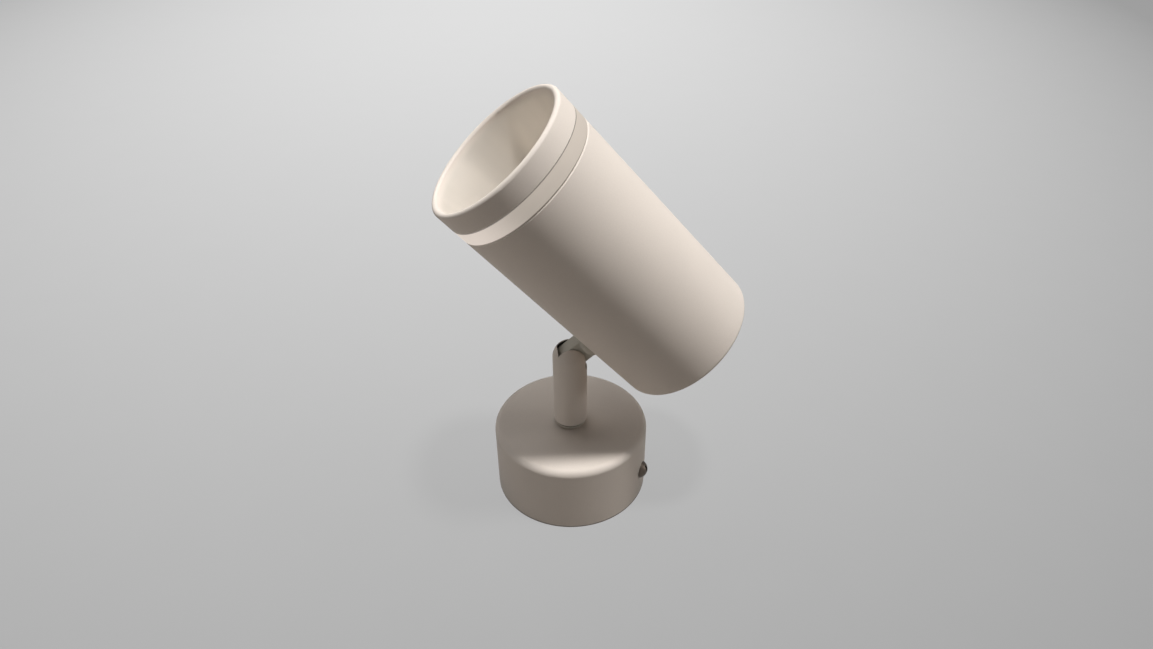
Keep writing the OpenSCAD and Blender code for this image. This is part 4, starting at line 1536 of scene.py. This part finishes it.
@dataclass
class SpotHead(SubAssembly):
    """The head: knuckle, housing, bezel, frosted ring, lampholder and lamp.

    Attributes:
        radius: Outer radius of the head.
        inner_r: Inner radius of the housing.
        ring_z: Distance of the frosted ring from the back of the head.
        ring_len: Length of the frosted ring.
        lens_z: Distance of the lens from the back of the head.
        seat_y: Distance of a lampholder screw from the head's axis.
        seat_z: Distance of its seat from the back of the head.
        way_x: Distance of a lead from the pivot, in the tongue.
        tube_x: Distance of a lead from the tube's axis.
    """

    body: ClassVar[Body] = Body.HEAD
    radius: float = 27.5
    inner_r: float = 26.1
    ring_z: float = 90.1
    ring_len: float = 5.8
    lens_z: float = 72.7
    seat_y: float = 9.0
    seat_z: float = 25.82
    way_x: float = 2.93
    tube_x: float = 1.7

    def build(self) -> None:
        """Builds the head's pieces."""
        self.bench.dress(PAINT, "head_housing")
        self.bench.dress(CONE_PAINT, "front_bezel")
        # The knuckle takes the darker copy of the paint, as painted shade
        self.bench.ease(NECK_SHADED_PAINT, self.body, 0.25, "knuckle")
        self.bench.ease(BRASS, self.body, 0.15, "neck_nut", "holder_contacts", "lamp_pins")
        self.bench.ease(ZINC, self.body, 0.1, "neck_washer", "holder_bracket")
        self.bench.ease(CERAMIC, self.body, 0.3, "lampholder")
        self.bench.dress(LAMP_WHITE, "lamp_body")
        along = STANCE.along_head()
        front = self.ring_z + self.ring_len
        ring = rounded([(self.inner_r, self.ring_z, 0.1), (self.radius, self.ring_z, 0.35),
                        (self.radius, front, 0.35), (self.inner_r, front, 0.1)])
        self.turn("frosted_ring", ring, [along], FROST)
        self.lens(along)
        seats = [along @ shift(0, side * self.seat_y, self.seat_z) for side in (-1, 1)]
        self.screws("holder_screws", HOLDER_SCREW, seats, ZINC)
        self.leads()

    def lens(self, along: np.ndarray) -> None:
        """Turns the lamp's lens: a flared disc with a raised ring.

        Args:
            along: The head's own directions.
        """
        low, high = self.lens_z, self.lens_z + 3
        crest = high + 0.5
        outline = rounded([(0, low, 0), (19.9, low, 0.2), (22.15, high, 0.3), (10, high, 0.2),
                           (9.9, crest, 0.2), (8.6, crest, 0.2), (8.5, high, 0.2), (0, high, 0)])
        self.turn("lamp_lens", outline, [along], LENS)

    def leads(self) -> None:
        """Lays the two leads past the pivot, up the neck's tube and round to the lampholder."""
        top, back, axis_h = 17.5, 11.2, STANCE.axis_h
        for side, name, finish in ((1, "head_live_lead", BROWN), (-1, "head_neutral_lead", BLUE)):
            x, inner = side * self.way_x, side * self.tube_x
            gate, end_x = side * 1.6, axis_h + side * 3.8
            route = [[x, 0, -2.2], [x, 0, 1.5], [x, 0, 4.3], [inner, 0, 8], [inner, 0, top],
                     [inner + 2, gate, top + 1.5], [back - 2.5, gate * 1.2, top + 0.5],
                     [back + 3, gate, top - 0.2], [back + 6, gate * 0.8, top + 5],
                     [back + 6, gate * 0.4, end_x - 3], [back + 4, 0, end_x], [back + 2, 0, end_x],
                     [back - 4, 0, end_x]]
            self.lead(name, route, (0, 1, 0), STANCE.in_head(), finish)


@dataclass
class Camera:
    """The camera at the photograph's place.

    Attributes:
        place: Its place, in millimetres.
        heading: Turn about the vertical, in degrees.
        dip: Angle below the horizon, in degrees.
        roll: Turn about its own axis, in degrees.
        focal_pixels: Focal length in the photograph's pixels.
        sensor: Width of the sensor, in millimetres.
    """

    place: tuple[float, float, float] = (92.69, -228.15, 249.69)
    heading: float = 21.489
    dip: float = 35.338
    roll: float = -0.586
    focal_pixels: float = 826.343
    sensor: float = 36.0

    def build(self) -> None:
        """Makes the camera and points it."""
        data = bpy.data.cameras.new("photo_camera")
        data.sensor_fit, data.sensor_width = "HORIZONTAL", self.sensor
        data.lens = self.sensor * self.focal_pixels / PHOTO_WIDTH
        data.clip_start, data.clip_end = 0.01, 20
        camera = placed("photo_camera", data)
        aim = turning("Z", self.heading) @ turning("X", 90 - self.dip) @ turning("Z", self.roll)
        camera.matrix_world = Matrix(shift(*(np.array(self.place) * MM)) @ aim)
        bpy.context.scene.camera = camera


@dataclass(frozen=True)
class Lamp:
    """A soft round lamp that faces the object.

    Attributes:
        name: Its name.
        bearing: Its direction from +X, round the vertical, in degrees.
        rise: Its angle above the floor, in degrees.
        size: Its width, in metres.
        level: How bright it lights a white card at the origin that faces it.
        reach: Its distance from the origin, in metres.
    """

    name: str
    bearing: float
    rise: float
    size: float
    level: float
    reach: float = 1.5

    def build(self) -> None:
        """Makes the lamp and turns it to the object."""
        data = bpy.data.lights.new(self.name, "AREA")
        data.shape, data.size = "DISK", self.size
        data.energy = self.level * math.pi ** 2 * self.reach ** 2
        aim = turning("Z", self.bearing) @ turning("Y", 90 - self.rise) @ shift(0, 0, self.reach)
        placed(self.name, data).matrix_world = Matrix(aim)


@dataclass
class Studio:
    """A plain pale floor under soft light.

    Attributes:
        rings: Radii of the floor's rings, the last one its own, in metres.
        drop: How far the floor lies under the mounting face, in millimetres.
        pale: The floor's grey at the middle of its painted pool of light, linear.
        deep: The floor's grey where its painted pool of light has faded, linear.
        brightest: Middle of the painted pool of light, in metres.
        fade: Distances across and away over which the floor goes from pale to deep, in metres.
        turn: Turn of those two directions from X and Y, in degrees.
        clouds: Count of the paper's faint clouds in a metre.
        cloudy: How much darker a cloud is, as a share of the way from pale to deep.
        lift: Share of the floor's tone that its shadows keep.
        bounce: Colour of the light that the floor gives back.
        sky: Brightness of the air all round.
        lamps: The soft lamps.
    """

    rings: tuple[float, ...] = (0, 0.3, 1.0, 3.0)
    drop: float = 0.02
    pale: float = 0.763
    deep: float = 0.354
    brightest: tuple[float, float, float] = (-0.395, 0.733, 0.0)
    fade: tuple[float, float, float] = (0.728, 1.035, 1.0)
    turn: float = 21.5
    clouds: float = 40
    cloudy: float = 0.02
    lift: float = 0.9
    bounce: Colour = (0.20, 0.178, 0.158)
    sky: float = 0.005
    lamps: tuple[Lamp, ...] = (
        Lamp("key", -2.0, 82, 0.16, 0.761),
        Lamp("back_left", 141.5, 50, 1.6, 0.212),
        Lamp("high_right", 21.5, 65, 0.9, 0.196),
        Lamp("high_back", 81.5, 65, 0.9, 0.106),
        Lamp("low_right", 21.5, 12, 0.6, 0.120),
        Lamp("low_left", 201.5, 12, 0.6, 0.050),
        Lamp("low_front", 246.5, 12, 0.6, 0.105),
    )

    def build(self) -> None:
        """Makes the floor, the air's light and the lamps."""
        rings = np.array([[radius, 0] for radius in self.rings]) / MM
        grid = turned(rings[::-1], steps_round(48)) - [0, 0, self.drop]
        floor = placed("floor", Skin().grid(grid).mesh("floor"))
        floor.data.materials.append(self.floor_material())
        world = bpy.context.scene.world or bpy.data.worlds.new("air")
        bpy.context.scene.world = world
        self.air(world)
        for lamp in self.lamps:
            lamp.build()

    def floor_material(self) -> bpy.types.Material:
        """Draws the floor: pale matt paper whose shadows stay light.

        Its tone is a painted pool of light, darker with the square of the distance from its
        brightest place.

        Returns:
            The finished material.
        """
        sheet = Sheet(bpy.data.materials.new("floor_paper"))
        spread = sheet.node("ShaderNodeMapping", {"vector_type": "TEXTURE"},
                            {"Vector": sheet.place(), "Location": self.brightest,
                             "Scale": self.fade, "Rotation": (0, 0, math.radians(self.turn))})
        # Painted pool of light: the tone fades from pale to deep away from the brightest place
        away = sheet.node("ShaderNodeVectorMath", {"operation": "LENGTH"}, {0: spread}, "Value")
        share = away * away + sheet.noise(self.clouds, 3) * self.cloudy
        tone = sheet.mix(share, (self.pale,) * 3, (self.deep,) * 3)
        paper = sheet.node("ShaderNodeBsdfDiffuse", {}, {"Color": tone})
        lit = sheet.node("ShaderNodeEmission", {}, {"Color": tone})
        shown = sheet.node("ShaderNodeMixShader", {}, {0: self.lift, 1: paper, 2: lit})
        given = sheet.node("ShaderNodeBsdfDiffuse", {}, {"Color": self.bounce})
        return self.split(sheet, given, shown)

    def air(self, world: bpy.types.World) -> None:
        """Lights the air evenly, and shows it as the floor's grey where the floor ends.

        Args:
            world: The scene's world.
        """
        sheet = Sheet(world)
        given = sheet.node("ShaderNodeBackground", {}, {"Color": (1, 1, 1), "Strength": self.sky})
        shown = sheet.node("ShaderNodeBackground", {}, {"Color": (self.deep,) * 3})
        self.split(sheet, given, shown)

    @staticmethod
    def split(sheet: Sheet, given: Sock, shown: Sock) -> Union[bpy.types.Material, bpy.types.World]:
        """Ends a sheet in two shaders, one for the light that is given and one for what is seen.

        Args:
            sheet: The sheet.
            given: The shader that lights other things.
            shown: The shader that the camera sees.

        Returns:
            The finished material or world.
        """
        parts = {0: sheet.seen(), 1: given, 2: shown}
        return sheet.end(sheet.node("ShaderNodeMixShader", {}, parts))


def main() -> None:
    """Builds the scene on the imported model."""
    logging.basicConfig(level=logging.INFO, format="%(name)s: %(message)s")
    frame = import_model()
    bpy.context.scene.view_settings.view_transform = "Standard"
    Camera().build()
    Studio().build()
    bench = Bench(frame["nodes"])
    for group in (MountingBase(bench), TurningStem(bench), SpotHead(bench)):
        LOG.info("building %s", type(group).__name__)
        group.build()


if __name__ == "__main__":
    main()
